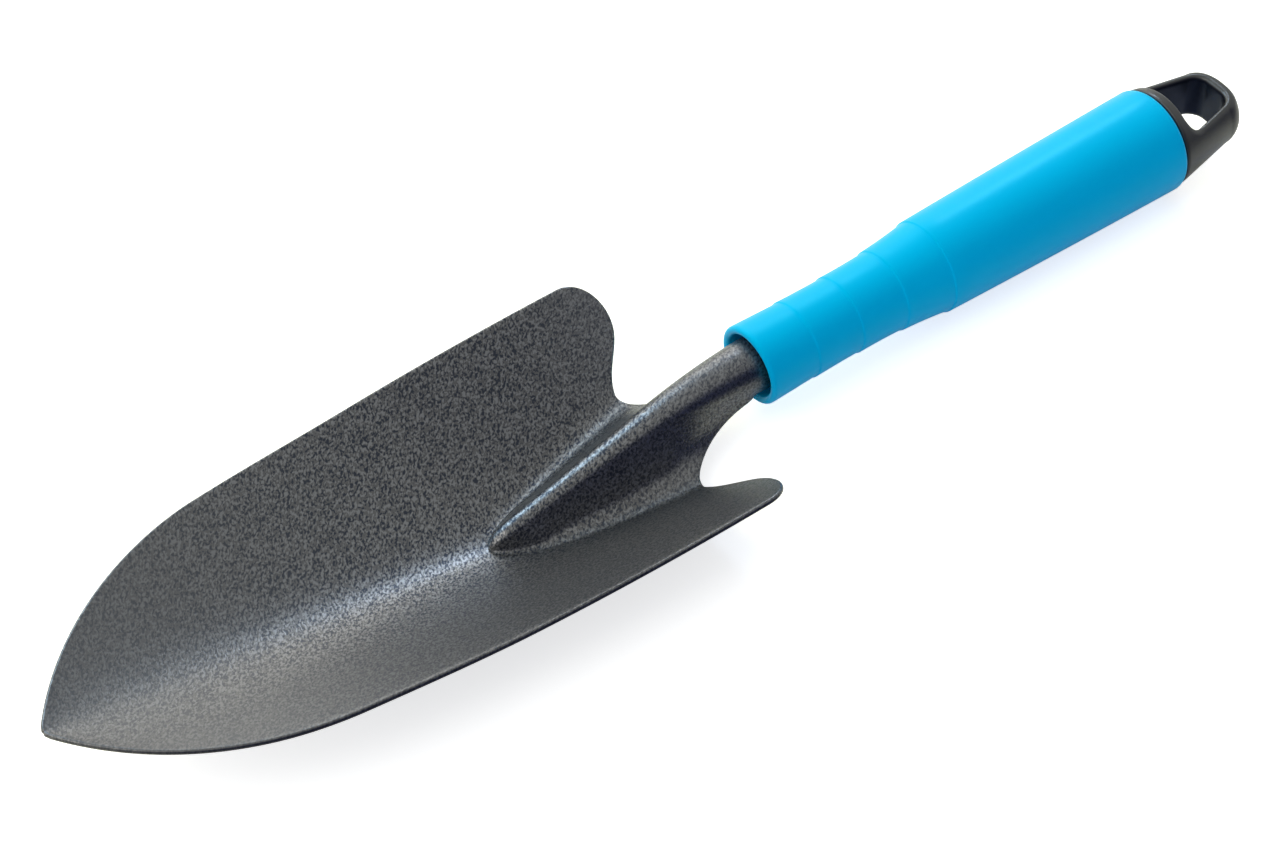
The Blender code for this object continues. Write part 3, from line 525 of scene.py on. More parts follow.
def neck_edge():
    """Stations along the neck and the sheet's half width there: the notch, then the tang's seam."""
    start = Section(rear_line()).length_at(wing_start(rear_line()))
    throat = THROAT_EDGE - RIM_ROUNDING
    tang_edge = pi * TANG_RADIUS - TANG_SEAM / 2.0 - RIM_ROUNDING
    tang_end = TANG_LENGTH - RIM_ROUNDING
    edge = []
    for i in range(1, NECK_COLUMNS + 1):
        edge.append(bezier((rear_line(), start),
                           (rear_line(), start - NOTCH_PULL),
                           (-THROAT_REACH - THROAT_PULL, throat + THROAT_TAPER * THROAT_PULL),
                           (-THROAT_REACH, throat), i / NECK_COLUMNS))
    for i in range(1, CURL_COLUMNS + 1):
        x = -THROAT_REACH + (MOUTH_BORE_DEPTH + THROAT_REACH) * i / CURL_COLUMNS
        open_edge = throat - THROAT_TAPER * (x + THROAT_REACH)
        edge.append((x, open_edge + (tang_edge - open_edge) * tang_curl(x)))
    for i in range(1, TANG_COLUMNS + 1):
        edge.append((MOUTH_BORE_DEPTH + (tang_end - MOUTH_BORE_DEPTH) * i / TANG_COLUMNS, tang_edge))
    return edge


def ridge_fraction(row):
    """Rows lie closer together near the crest."""
    return (row / RIDGE_ROWS)**ROW_CROWDING


def blade_stations():
    """Stations from the tip to the notch, closer together at the tip and at the ridge's toe."""
    start = -TIP_REACH + RIM_ROUNDING + FIRST_STATION
    front = -TOE_REACH - start
    rear = TOE_REACH + rear_line()
    stations = [start + front * (i / NOSE_COLUMNS)**NOSE_CROWDING for i in range(NOSE_COLUMNS + 1)]
    for i in range(1, RIDGE_COLUMNS + 1):
        stations.append(-TOE_REACH + rear * (i / RIDGE_COLUMNS)**RIDGE_CROWDING)
    return stations


def shoulder_point(u, v):
    """A point of a shoulder seen from above: u runs out along the notch's line, v backwards."""
    inner = (rear_line(), wing_start(rear_line()))
    side = side_half_width(-NOTCH_REACH)
    radius = SHOULDER_RADIUS - RIM_ROUNDING
    # The straight rear edge and the long side meet in a corner that the shoulder's arc rounds
    turn = pi - SHOULDER_SWEEP
    centre = (-NOTCH_REACH, side - SHOULDER_RADIUS)
    outer = (rear_line(), half_width(rear_line(), RIM_ROUNDING))

    def on_arc(t):
        """The shoulder's arc, from its side end at t = 0 to the rear edge at t = 1."""
        angle = pi / 2.0 - turn * t
        return centre[0] + radius * cos(angle), centre[1] + radius * sin(angle)

    rear = on_arc(1.0)
    pull = hypot(rear[0] - inner[0], rear[1] - inner[1]) / 3.0
    lean = (cos(SHOULDER_SWEEP) * pull, sin(SHOULDER_SWEEP) * pull)

    def inner_edge(t):
        """The rear edge, from the notch at t = 0 to the shoulder's arc at t = 1."""
        return bezier(inner, (inner[0], inner[1] + pull), (rear[0] - lean[0], rear[1] - lean[1]), rear, t)

    corners = (inner, outer, rear, on_arc(SHOULDER_SHARE))
    base = (inner[0], inner[1] + (outer[1] - inner[1]) * u)
    top = on_arc(1.0 - (1.0 - SHOULDER_SHARE) * u)
    left = inner_edge(v)
    right = on_arc(SHOULDER_SHARE * v)
    point = []
    for k in range(2):
        blend = (1 - v) * base[k] + v * top[k] + (1 - u) * left[k] + u * right[k]
        blend -= (1 - u) * (1 - v) * corners[0][k] + u * (1 - v) * corners[1][k]
        blend -= (1 - u) * v * corners[2][k] + u * v * corners[3][k]
        point.append(blend)
    return point


def blade_grids():
    """The upper face's three grids for the +Y half: blade and ridge, neck and tang, shoulder."""
    main = []
    for x in blade_stations():
        section = Section(x)
        inner = min(wing_start(x), half_width(x, RIM_ROUNDING) * LARGEST_SPLIT)
        split = section.length_at(inner)
        column = [section.at_length(split * ridge_fraction(row)) for row in range(RIDGE_ROWS + 1)]
        for row in range(1, WING_ROWS + 1):
            y = inner + (half_width(x, RIM_ROUNDING) - inner) * row / WING_ROWS
            column.append(Vector((x, y, section.height_at(y))))
        main.append(column)
    neck = [main[-1][:RIDGE_ROWS + 1]]
    for x, edge in neck_edge():
        section = Section(x)
        neck.append([section.at_length(edge * ridge_fraction(row)) for row in range(RIDGE_ROWS + 1)])
    shoulder = [main[-1][RIDGE_ROWS:]]
    for column in range(1, SHOULDER_COLUMNS + 1):
        back = column / SHOULDER_COLUMNS
        points = [shoulder_point(row / WING_ROWS, back) for row in range(WING_ROWS + 1)]
        shoulder.append([Vector((x, y, trough_z(x, y))) for x, y in points])
    return main, neck, shoulder


def add_grid(mesh, grid):
    """Faces of a grid of points, wound so that they look up."""
    verts = [[mesh.verts.new(point) for point in column] for column in grid]
    for here, ahead in zip(verts, verts[1:]):
        for row in range(len(here) - 1):
            mesh.faces.new((here[row], ahead[row], ahead[row + 1], here[row + 1]))


def mirrored(grid):
    """The same grid on the other side, kept wound the same way."""
    return [[Vector((p.x, -p.y, p.z)) for p in column] for column in reversed(grid)]


def smooth_normals(mesh):
    """Each point's direction out of the sheet, evened out among its neighbours."""
    mesh.normal_update()
    normals = [vert.normal.copy() for vert in mesh.verts]
    neighbours = [[edge.other_vert(vert).index for edge in vert.link_edges] for vert in mesh.verts]
    for _ in range(NORMAL_PASSES):
        blended = []
        for normal, others in zip(normals, neighbours):
            total = normal * len(others)
            for other in others:
                total = total + normals[other]
            blended.append(total.normalized())
        normals = blended
    return normals


def rim_loops(mesh):
    """The sheet's free edges as closed loops of points, with the sheet on their left."""
    following = {}
    for edge in mesh.edges:
        if len(edge.link_faces) == 1:
            loop = edge.link_loops[0]
            following[loop.vert] = loop.link_loop_next.vert
    loops = []
    while following:
        start, vert = following.popitem()
        loop = [start]
        while vert is not start:
            loop.append(vert)
            vert = following.pop(vert)
        loops.append(loop)
    return loops


def give_thickness(mesh):
    """Turn an open sheet into a closed one: a lower face, and a rounded rim that joins the two."""
    mesh.verts.index_update()
    normals = smooth_normals(mesh)
    upper_faces = list(mesh.faces)
    loops = rim_loops(mesh)
    lower = [mesh.verts.new(vert.co - normals[vert.index] * SHEET) for vert in list(mesh.verts)]
    for face in upper_faces:
        mesh.faces.new([lower[vert.index] for vert in reversed(face.verts)])
    for loop in loops:
        rings = []
        for before, vert, after in zip(loop[-1:] + loop[:-1], loop, loop[1:] + loop[:1]):
            normal = normals[vert.index]
            outward = (after.co - before.co).cross(normal).normalized()
            ring = [vert]
            for i in range(1, RIM_STEPS):
                angle = pi * i / RIM_STEPS
                out = RIM_ROUNDING * sin(angle)
                down = SHEET / 2.0 * (1.0 - cos(angle))
                ring.append(mesh.verts.new(vert.co + outward * out - normal * down))
            ring.append(lower[vert.index])
            rings.append(ring)
        for here, ahead in zip(rings, rings[1:] + rings[:1]):
            for i in range(RIM_STEPS):
                mesh.faces.new((here[i + 1], ahead[i + 1], ahead[i], here[i]))


def build_blade():
    """The pressed sheet with its ridge, notches and tang."""
    mesh = bmesh.new()
    for grid in blade_grids():
        add_grid(mesh, grid)
        add_grid(mesh, mirrored(grid))
    bmesh.ops.remove_doubles(mesh, verts=mesh.verts, dist=MERGE)
    give_thickness(mesh)
    return place("trowel_blade", mesh, hammered_paint(), "hammered_grey_paint", "blade")


# Turned pieces

def turned_mesh(profile, sides):
    """A body turned about the x axis from a closed profile of (x, radius) points."""
    mesh = bmesh.new()
    rings = []
    for i in range(sides):
        angle = 2.0 * pi * i / sides
        ring = [(x, radius * cos(angle), radius * sin(angle)) for x, radius in profile]
        rings.append([mesh.verts.new(point) for point in ring])
    for here, ahead in zip(rings, rings[1:] + rings[:1]):
        for i in range(len(profile)):
            j = (i + 1) % len(profile)
            mesh.faces.new((here[i], here[j], ahead[j], ahead[i]))
    bmesh.ops.remove_doubles(mesh, verts=mesh.verts, dist=MERGE)
    bmesh.ops.recalc_face_normals(mesh, faces=mesh.faces)
    return mesh


def round_edge(x, radius, turn_from, turn_to, size):
    """Points of a rounded edge about a centre, angles measured from +x towards outside."""
    return [(x + size * cos(turn_from + (turn_to - turn_from) * i / EDGE_STEPS),
             radius + size * sin(turn_from + (turn_to - turn_from) * i / EDGE_STEPS))
            for i in range(EDGE_STEPS + 1)]


def handle_outside():
    """The handle's outer profile from its mouth to its rear end, as (x, radius) points."""
    rings = [FIRST_RING + RING_PITCH * i for i in range(len(STRETCHES) - 1)]
    fronts = [LIP_RADIUS] + [ring + RING_RUN for ring in rings]
    rears = rings + [HANDLE_LENGTH - REAR_ROUNDING]
    points = round_edge(LIP_RADIUS, STRETCHES[0][0] - LIP_RADIUS, pi, pi / 2.0, LIP_RADIUS)
    for index, (front, rear) in enumerate(zip(fronts, rears)):
        front_radius, rear_radius = STRETCHES[index]
        if index > 0:
            step_from = STRETCHES[index - 1][1]
            for i in range(1, RING_STEPS):
                t = i / RING_STEPS
                radius = step_from + (front_radius - step_from) * smooth_step(0.0, 1.0, t)
                points.append((front - RING_RUN * (1.0 - t), radius))
            points.append((front, front_radius))
        for i in range(1, STRETCH_STEPS + 1):
            t = i / STRETCH_STEPS
            radius = front_radius + (rear_radius - front_radius) * t
            points.append((front + (rear - front) * t, radius - STRETCH_SAG[index] * 4.0 * t * (1.0 - t)))
    points += round_edge(HANDLE_LENGTH - REAR_ROUNDING, STRETCHES[-1][1] - REAR_ROUNDING,
                         pi / 2.0, 0.0, REAR_ROUNDING)[1:]
    return points


def snap_groove(radius, half_length):
    """The groove for the cap's snap rib, as (x, radius) points from rear to front."""
    middle = HANDLE_LENGTH - SNAP_DEPTH
    return [(middle + half_length + SNAP_HEIGHT, radius), (middle + half_length, radius + SNAP_HEIGHT),
            (middle - half_length, radius + SNAP_HEIGHT), (middle - half_length - SNAP_HEIGHT, radius)]


def build_handle():
    """The moulded handle: a socket for the tang, a web for the screw, a socket for the cap."""
    web_front = TANG_LENGTH + GAP
    web_rear = web_front + WEB_THICKNESS
    socket_front = HANDLE_LENGTH - CAP_SOCKET_DEPTH
    mouth_bore = TANG_RADIUS + MOUTH_CLEARANCE
    profile = handle_outside()
    profile.append((HANDLE_LENGTH, CAP_SOCKET_RADIUS))
    profile += snap_groove(CAP_SOCKET_RADIUS, SNAP_HALF_LENGTH + GAP)
    profile += [(socket_front, CAP_SOCKET_RADIUS), (socket_front, CAVITY_RADIUS)]
    profile += [(web_rear, CAVITY_RADIUS), (web_rear, SCREW_RADIUS + GAP)]
    profile += [(web_front, SCREW_RADIUS + GAP), (web_front, TANG_RADIUS + GAP)]
    profile += [(MOUTH_BORE_DEPTH, TANG_RADIUS + GAP), (MOUTH_BORE_DEPTH, mouth_bore)]
    profile += round_edge(LIP_RADIUS, mouth_bore + LIP_RADIUS, 1.5 * pi, pi, LIP_RADIUS)
    mesh = turned_mesh(profile, HANDLE_SIDES)
    return place("trowel_handle", mesh, cyan_plastic(), "cyan_plastic", "handle")


# End cap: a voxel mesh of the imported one, whose points are then moved onto the exact surface

def blend_max(a, b, width):
    """The larger of two distances, rounded where they are alike: two solids' common part."""
    near = np.maximum(width - np.abs(a - b), 0.0) / width
    return np.maximum(a, b) + near * near * width / 4.0


def eye_distance(x, y):
    """Signed distance to the eye's outline seen from above, negative inside the eye."""
    front = HANDLE_LENGTH + GAP + COLLAR_LENGTH + EYE_SETBACK
    rear = front + EYE_LENGTH
    lean = atan((EYE_FRONT_HALF_WIDTH - EYE_REAR_HALF_WIDTH) / EYE_LENGTH)
    side = (np.abs(y) - EYE_FRONT_HALF_WIDTH) * cos(lean) + (x - front) * sin(lean)
    walls = [front - x, x - rear, side]
    # Each wall is moved in by the corners' radius, and the outline is that far round the rest
    inner = [wall + EYE_CORNER for wall in walls]
    outside = np.sqrt(sum(np.maximum(wall, 0.0)**2 for wall in inner))
    inside = np.minimum(np.maximum(np.maximum(inner[0], inner[1]), inner[2]), 0.0)
    return outside + inside - EYE_CORNER


def cap_distance(points):
    """A rounded signed distance to the end cap, negative in its plastic."""
    x = points[:, 0]
    y = points[:, 1]
    z = np.abs(points[:, 2])
    radius = np.hypot(y, points[:, 2])
    collar_front = HANDLE_LENGTH + GAP
    loop_front = collar_front + COLLAR_LENGTH
    loop_rear = loop_front + LOOP_LENGTH
    corner = loop_rear - LOOP_CORNER
    lean = atan((COLLAR_RADIUS - LOOP_END_RADIUS) / (corner - collar_front))
    cone = (radius - COLLAR_RADIUS) * cos(lean) + (x - collar_front) * sin(lean)
    # The rear corner is rounded, and so is the collar's front edge
    core = LOOP_END_RADIUS - LOOP_CORNER
    behind = np.where(radius > core, np.hypot(x - corner, radius - core) - LOOP_CORNER, x - loop_rear)
    round_end = np.where(x > corner, behind, cone)
    solid = blend_max(round_end, collar_front - x, 2.0 * COLLAR_EDGE)
    # The flats: above them, behind the saddle's hollow, there is no plastic
    saddle_rear = loop_front + SADDLE_RADIUS
    saddle_top = LOOP_HALF_HEIGHT + SADDLE_RADIUS
    hollow = SADDLE_RADIUS - np.hypot(np.minimum(x - saddle_rear, 0.0), np.minimum(z - saddle_top, 0.0))
    flat = np.where(x > saddle_rear, z - LOOP_HALF_HEIGHT, hollow)
    above = np.where(z > saddle_top, x - loop_front, flat)
    solid = blend_max(solid, above, LOOP_EDGE)
    solid = blend_max(solid, -eye_distance(x, y), EYE_EDGE)
    # The plug that snaps into the handle
    plug_radius = CAP_SOCKET_RADIUS - GAP
    plug_front = collar_front - PLUG_LENGTH
    plug_rear = collar_front + COLLAR_LENGTH * PLUG_ROOT_SHARE
    bore_rear = collar_front + COLLAR_LENGTH * BORE_END_SHARE
    plug = np.maximum(radius - plug_radius, np.maximum(plug_front - x, x - plug_rear))
    bore = np.maximum(radius - plug_radius + PLUG_WALL, x - bore_rear)
    rib_middle = HANDLE_LENGTH - SNAP_DEPTH
    rib = np.abs(x - rib_middle) - SNAP_HALF_LENGTH + (radius - plug_radius)
    rib = np.maximum(rib, radius - plug_radius - SNAP_HEIGHT)
    plug = np.maximum(np.minimum(plug, rib), -bore)
    return np.maximum(np.minimum(solid, plug), -bore)


def onto_surface(points):
    """Move points along the distance's slope until they lie where it is 0."""
    for _ in range(CAP_PASSES):
        value = cap_distance(points)
        slope = np.empty_like(points)
        for axis in range(3):
            step = np.zeros(3)
            step[axis] = GRADIENT_STEP
            rise = cap_distance(points + step) - cap_distance(points - step)
            slope[:, axis] = rise / (2.0 * GRADIENT_STEP)
        steep = np.maximum((slope**2).sum(axis=1), LEAST_STEEPNESS)
        move = -(value / steep)[:, None] * slope
        reach = np.linalg.norm(move, axis=1)[:, None]
        points = points + move * np.minimum(1.0, CAP_VOXEL / np.maximum(reach, MERGE))
    return points


def eye_wall_painted_shade_share(points):
    """1 for points on the eye's wall, where shade is painted, 0 elsewhere, with a soft change over its
    rounded edge.
    """
    depth = EYE_WALL_BLEND - eye_distance(points[:, 0], points[:, 1])
    # A blend takes a quarter of its width off an edge
    below = LOOP_HALF_HEIGHT - EYE_EDGE / 4.0 - np.abs(points[:, 2])
    return np.clip(np.minimum(depth, below) / EYE_WALL_BLEND, 0.0, 1.0)


def build_end_cap():
    """The cap: a collar and a loop to hang it by, on a hollow plug."""
    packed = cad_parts["end_cap"]
    mesh = bmesh.new()
    mesh.from_mesh(packed.data)
    bmesh.ops.translate(mesh, verts=mesh.verts, vec=-MOUTH)
    bmesh.ops.remove_doubles(mesh, verts=mesh.verts, dist=MERGE)
    coarse = bpy.data.meshes.new("cap_coarse")
    mesh.to_mesh(coarse)
    mesh.free()
    source = bpy.data.objects.new("cap_source", coarse)
    bpy.context.scene.collection.objects.link(source)
    remesh = source.modifiers.new("even_faces", "REMESH")
    remesh.mode = "VOXEL"
    remesh.voxel_size = CAP_VOXEL
    depsgraph = bpy.context.evaluated_depsgraph_get()
    fine = bpy.data.meshes.new_from_object(source.evaluated_get(depsgraph))
    bpy.data.objects.remove(source)
    places = np.empty(len(fine.vertices) * 3)
    fine.vertices.foreach_get("co", places)
    places = onto_surface(places.reshape(-1, 3))
    fine.vertices.foreach_set("co", places.ravel())
    # The eye's wall is marked, so that its material paints shade there
    wall = fine.attributes.new(EYE_WALL, "FLOAT", "POINT")
    wall.data.foreach_set("value", eye_wall_painted_shade_share(places))
    mesh = bmesh.new()
    mesh.from_mesh(fine)
    return place("trowel_end_cap", mesh, dark_plastic(), "dark_grey_plastic", "end_cap")


def place(name, mesh, surface, slot, node):
    """An object from a bmesh at the handle's mouth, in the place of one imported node."""
    data = bpy.data.meshes.new(name)
    mesh.to_mesh(data)
    mesh.free()
    data.materials.append(surface)
    data.shade_smooth()
    data.set_sharp_from_angle(angle=SHARP_ANGLE)
    piece = bpy.data.objects.new(name, data)
    piece.location = MOUTH
    bpy.context.scene.collection.objects.link(piece)
    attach(piece, "root")
    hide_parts(node)
    return piece


# Materials

class Nodes:
    """Nodes under construction in a tree, linked as they are made."""

    def __init__(self, tree):
        self.tree = tree

    def node(self, kind, **values):
        """A new node, with sockets set. An underscore in a name stands for a space."""
        node = self.tree.nodes.new("ShaderNode" + kind)
        for name, value in values.items():
            self.connect(value, node.inputs[name.replace("_", " ")])
        return node

    def connect(self, value, socket):
        """Link an output to a socket, or set the socket to a plain value."""
        if isinstance(value, bpy.types.NodeSocket):
            self.tree.links.new(value, socket)
        else:
            socket.default_value = value

    def math(self, operation, a, b=0.0):
        """One operation on two values."""
        node = self.node("Math")
        node.operation = operation
        self.connect(a, node.inputs[0])
        self.connect(b, node.inputs[1])
        return node.outputs["Value"]

    def ramp(self, value, low, high, to_low=0.0, to_high=1.0):
        """A value mapped smoothly from one range to another."""
        node = self.node("MapRange", Value=value, From_Min=low, From_Max=high,
                         To_Min=to_low, To_Max=to_high)
        node.interpolation_type = "SMOOTHSTEP"
        return node.outputs["Result"]

    def mix(self, share, a, b):
        """Two colours mixed."""
        node = self.node("Mix")
        node.data_type = "RGBA"
        self.connect(share, node.inputs["Factor"])
        for index, colour in ((MIX_COLOUR_A, a), (MIX_COLOUR_B, b)):
            value = colour if isinstance(colour, bpy.types.NodeSocket) else (*colour, 1.0)
            self.connect(value, node.inputs[index])
        return node.outputs[MIX_COLOUR_RESULT]

    def choose(self, share, a, b):
        """Two shaders mixed."""
        node = self.node("MixShader", Fac=share)
        self.connect(a, node.inputs[1])
        self.connect(b, node.inputs[2])
        return node.outputs["Shader"]

    def part(self, vector, axis):
        """One of a vector's three values."""
        return self.node("SeparateXYZ", Vector=vector).outputs[axis]


class Surface(Nodes):
    """A node material under construction, with textures measured in millimetres."""

    def __init__(self, name):
        self.material = bpy.data.materials.new(name)
        self.material.use_nodes = True
        super().__init__(self.material.node_tree)
        self.shader = self.tree.nodes["Principled BSDF"]
        place = self.node("TexCoord").outputs["Object"]
        self.place = self.node("Mapping", Vector=place, Scale=(MILLIMETRES,) * 3).outputs["Vector"]

    def set(self, **values):
        """Set the shader's own sockets. An underscore in a name stands for a space."""
        for name, value in values.items():
            self.connect(value, self.shader.inputs[name.replace("_", " ")])

    def noise(self, pitch, detail=2.0, distortion=0.0, vector=None):
        """Noise whose blotches are about so many millimetres apart."""
        node = self.node("TexNoise", Vector=vector or self.place, Scale=1.0 / pitch,
                         Detail=detail, Distortion=distortion)
        return node.outputs["Fac"]

    def plastic_relief(self, grain, grain_depth, swell_pitch, swell_depth):
        """A fine grain on the slow swell that a mould leaves."""
        swell = self.bump(self.noise(swell_pitch, detail=SWELL_DETAIL), swell_depth)
        return self.bump(grain, grain_depth, below=swell)

    def attribute(self, name):
        """A value that the mesh holds for each of its points."""
        node = self.node("Attribute")
        node.attribute_name = name
        return node.outputs["Fac"]

    def along(self, axis):
        """The place along one of the object's axes."""
        return self.part(self.place, axis)

    def stretched(self, angle, length):
        """Texture space in which features are longer in one direction, seen from above."""
        turned = self.node("Mapping", Vector=self.place, Rotation=(0.0, 0.0, -angle)).outputs["Vector"]
        return self.node("Mapping", Vector=turned, Scale=(1.0 / length, 1.0, 1.0)).outputs["Vector"]

    def bump(self, height, depth, below=None):
        """Relief of so many millimetres, on top of another relief if one is given."""
        node = self.node("Bump", Height=height, Distance=depth / MILLIMETRES)
        if below:
            self.connect(below, node.inputs["Normal"])
        return node.outputs["Normal"]


def hammered_paint():
    """Hammered grey enamel: short strokes, lighter and darker, in low relief, with painted light on the
    neck and on bolder strokes.
    """
    made = Surface("hammered_grey_paint")
    across = made.stretched(STROKE_ANGLE, STROKE_STRETCH)
    strokes = made.noise(STROKE_PITCH, detail=STROKE_DETAIL, distortion=STROKE_WAVER, vector=across)
    middle = made.mix(made.noise(PAINT_CLOUDS), *PAINT_COLOURS)
    # Painted light on the neck: the paint turns paler there and loses some of its darker strokes
    neck = made.ramp(made.along("X"), NECK_START, NECK_END)
    middle = made.mix(neck, middle, NECK_PAINTED_LIGHT_COLOUR)
    # The strokes are bolder towards the heel and on the far wing: painted light, for the way the lamps
    # bring them out there
    bold = made.math("MULTIPLY", made.ramp(made.along("X"), *BOLD_ALONG),
                     made.ramp(made.along("Y"), *BOLD_ACROSS))
    lighter = made.math("MULTIPLY", made.ramp(strokes, *LIGHT_STROKE), bold)
    darker = made.math("MULTIPLY", made.ramp(strokes, *DARK_STROKE), bold)
    fewer = made.ramp(made.along("X"), NECK_START, NECK_END, 1.0, NECK_DARK_STROKES)
    darker = made.math("MULTIPLY", darker, fewer)
    light = made.mix(lighter, middle, LIGHT_STROKE_COLOUR)
    colour = made.mix(darker, light, DARK_STROKE_COLOUR)
    made.set(Base_Color=colour, Metallic=PAINT_METAL, Roughness=made.ramp(strokes, *PAINT_ROUGHNESS))
    made.set(Normal=made.bump(strokes, STROKE_RELIEF))
    made.set(Coat_Weight=PAINT_COAT, Coat_Roughness=PAINT_COAT_ROUGHNESS)
    return made.material


def cyan_plastic():
    """Smooth moulded plastic with a faint unevenness from its mould."""
    made = Surface("cyan_plastic")
    grain = made.noise(CYAN_GRAIN_PITCH)
    made.set(Base_Color=made.mix(made.noise(CYAN_CLOUDS, detail=RICH_DETAIL), *CYAN_COLOURS))
    made.set(Roughness=made.ramp(grain, *GRAIN_RANGE, *CYAN_ROUGHNESS))
    made.set(Specular_IOR_Level=CYAN_GLOSS, Specular_Tint=CYAN_GLOSS_TINT)
    made.set(Normal=made.plastic_relief(grain, CYAN_GRAIN, CYAN_SWELL_PITCH, CYAN_SWELL))
    return made.material


def dark_plastic():
    """Dark grey moulded plastic with a fine satin grain, with shade painted inside the eye."""
    made = Surface("dark_grey_plastic")
    grain = made.noise(DARK_GRAIN_PITCH, detail=RICH_DETAIL)
    wall = made.attribute(EYE_WALL)
    colour = made.mix(made.noise(DARK_CLOUDS, detail=RICH_DETAIL), *DARK_COLOURS)
    # Painted shade on the eye's wall: a darker colour, and a bluish tint that dims its gloss
    made.set(Base_Color=made.mix(wall, colour, EYE_WALL_PAINTED_SHADE_COLOUR))
    made.set(Specular_Tint=made.mix(wall, WHITE, EYE_WALL_PAINTED_SHADE_TINT))
    made.set(Roughness=made.ramp(grain, *GRAIN_RANGE, *DARK_ROUGHNESS), Specular_IOR_Level=DARK_GLOSS)
    made.set(Normal=made.plastic_relief(grain, DARK_GRAIN, DARK_SWELL_PITCH, DARK_SWELL))
    return made.material


def zinc_steel():
    """Zinc plated steel: fine turning marks and faint cloudy patches."""
    made = Surface("zinc_plated_steel")
    clouds = made.noise(ZINC_CLOUDS, detail=RICH_DETAIL)
    made.set(Base_Color=made.mix(clouds, *ZINC_COLOURS), Metallic=1.0)
    made.set(Roughness=made.ramp(clouds, *GRAIN_RANGE, *ZINC_ROUGHNESS))
    made.set(Normal=made.bump(made.noise(ZINC_GRAIN_PITCH), ZINC_GRAIN))
    return made.material


# Studio

def build_camera():
    """The photograph's camera."""
    data = bpy.data.cameras.new("camera")
    data.lens = CAMERA_LENS
    data.sensor_width = CAMERA_SENSOR
    camera = bpy.data.objects.new("camera", data)
    camera.matrix_world = Matrix.LocRotScale(MOUTH + CAMERA_PLACE, Euler(CAMERA_TURN), None)
    bpy.context.scene.collection.objects.link(camera)
    bpy.context.scene.camera = camera


def build_softbox(name, azimuth, elevation, distance, width, height, power, colour):
    """A rectangular light that looks at the trowel.

    Its direction is in degrees, round from +x towards +y and then up. Its power is in watts.
    """
    data = bpy.data.lights.new(name, "AREA")
    data.shape = "RECTANGLE"
    data.size = width
    data.size_y = height
    data.energy = power
    data.color = colour
    level = cos(radians(elevation))
    turn = radians(azimuth)
    direction = Vector((level * cos(turn), level * sin(turn), sin(radians(elevation))))
    light = bpy.data.objects.new(name, data)
    light.location = direction * distance
    light.rotation_mode = "QUATERNION"
    light.rotation_quaternion = direction.to_track_quat("Z", "Y")
    light.visible_camera = False
    bpy.context.scene.collection.objects.link(light)
    return light


def build_world():
    """A pale room that the camera sees as white. Its front side is darker and bluer.

    Gloss finds the front dark up to a certain height only, as under a studio's lights.
    """
    world = bpy.data.worlds.new("room")
    world.use_nodes = True
    made = Nodes(world.node_tree)
    made.tree.nodes.clear()
    rays = made.node("LightPath").outputs
    direction = made.node("TexCoord").outputs["Generated"]
    ahead = made.part(direction, "Y")
    height = made.part(direction, "Z")
    gloss_front = made.math("MULTIPLY", made.ramp(ahead, *ROOM_GLOSS_FRONT),
                            made.ramp(height, *ROOM_GLOSS_FRONT_HEIGHT))
    matt_room = made.mix(made.ramp(ahead, *ROOM_FRONT), ROOM_COLOUR, ROOM_FRONT_COLOUR)
    gloss_room = made.mix(gloss_front, ROOM_COLOUR, ROOM_FRONT_COLOUR)
    colour = made.mix(rays["Is Glossy Ray"], matt_room, gloss_room)
    room = made.node("Background", Color=colour, Strength=ROOM_LEVEL)
    white = made.node("Background", Color=(*WHITE, 1.0))
    choice = made.choose(rays["Is Camera Ray"], room.outputs["Background"], white.outputs["Background"])
    made.node("OutputWorld", Surface=choice)
    bpy.context.scene.world = world


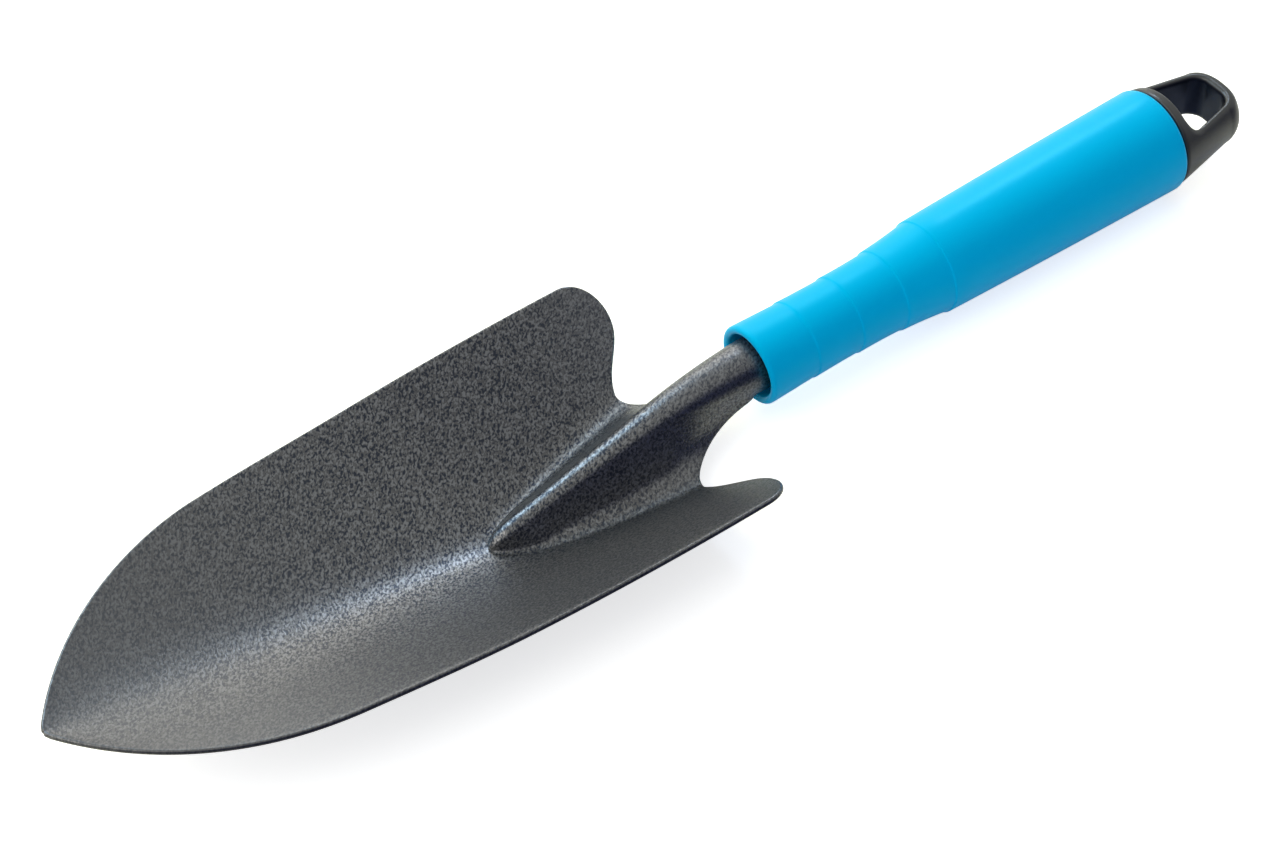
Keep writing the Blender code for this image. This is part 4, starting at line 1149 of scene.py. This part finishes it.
def floor_surface():
    """Matt white. The camera sees it a little brighter than it is lit, so that it reads as white.

    Gloss finds it dark towards the front, and from below it is clear.
    """
    surface = bpy.data.materials.new("pale_floor")
    surface.use_nodes = True
    made = Nodes(surface.node_tree)
    made.tree.nodes.clear()
    rays = made.node("LightPath").outputs
    geometry = made.node("NewGeometry").outputs
    front = made.ramp(made.part(geometry["Position"], "Y"), *FLOOR_FRONT)
    dark = made.math("MULTIPLY", front, rays["Is Glossy Ray"])
    matt = made.node("BsdfDiffuse", Color=made.mix(dark, FLOOR_COLOUR, FLOOR_FRONT_COLOUR))
    glow = made.node("Emission", Strength=made.math("MULTIPLY", rays["Is Camera Ray"], FLOOR_GLOW))
    both = made.node("AddShader")
    made.connect(matt.outputs["BSDF"], both.inputs[0])
    made.connect(glow.outputs["Emission"], both.inputs[1])
    clear = made.node("BsdfTransparent")
    sides = made.choose(geometry["Backfacing"], both.outputs["Shader"], clear.outputs["BSDF"])
    made.node("OutputMaterial", Surface=sides)
    return surface


def build_floor():
    """The floor, just under the trowel."""
    mesh = bmesh.new()
    bmesh.ops.create_grid(mesh, x_segments=FLOOR_SQUARES, y_segments=FLOOR_SQUARES, size=FLOOR_SIZE / 2.0)
    data = bpy.data.meshes.new("floor")
    mesh.to_mesh(data)
    mesh.free()
    data.materials.append(floor_surface())
    floor = bpy.data.objects.new("floor", data)
    floor.location.z = CAD_BOX[0].z - FLOOR_DROP
    bpy.context.scene.collection.objects.link(floor)


def build_lights():
    """A wide window on the far side, smaller lamps beside it and a soft one from the left."""
    build_softbox("window", azimuth=88, elevation=30, distance=1.2, width=1.8, height=0.76,
                  power=5.6, colour=(1.0, 0.95, 0.86))
    # A small bluish lamp that only gloss shows, and a soft one without a reflection
    key = build_softbox("key", azimuth=106, elevation=38, distance=1.0, width=0.45, height=0.45,
                        power=3.4, colour=(0.36, 0.68, 1.0))
    key.visible_diffuse = False
    wash = build_softbox("wash", azimuth=95, elevation=46, distance=1.2, width=0.6, height=0.6,
                         power=3.8, colour=(1.0, 1.0, 0.15))
    wash.visible_glossy = False
    build_softbox("near_strip", azimuth=44, elevation=36, distance=0.68, width=0.12, height=0.12,
                  power=0.80, colour=(0.60, 0.77, 1.0))
    build_softbox("left", azimuth=170, elevation=45, distance=1.3, width=0.9, height=0.9,
                  power=5.0, colour=(1.0, 0.97, 0.92))


def build_studio():
    """Camera, floor, room and lights."""
    build_camera()
    build_floor()
    build_world()
    build_lights()
    bpy.context.scene.view_settings.view_transform = "Standard"


def finish_inner_pieces():
    """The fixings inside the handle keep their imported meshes, in plated steel."""
    steel = zinc_steel()
    for name in ("tang_plug", "screw_washer", "retaining_screw"):
        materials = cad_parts[name].data.materials
        materials.clear()
        materials.append(steel)


build_blade()
build_handle()
build_end_cap()
finish_inner_pieces()
build_studio()
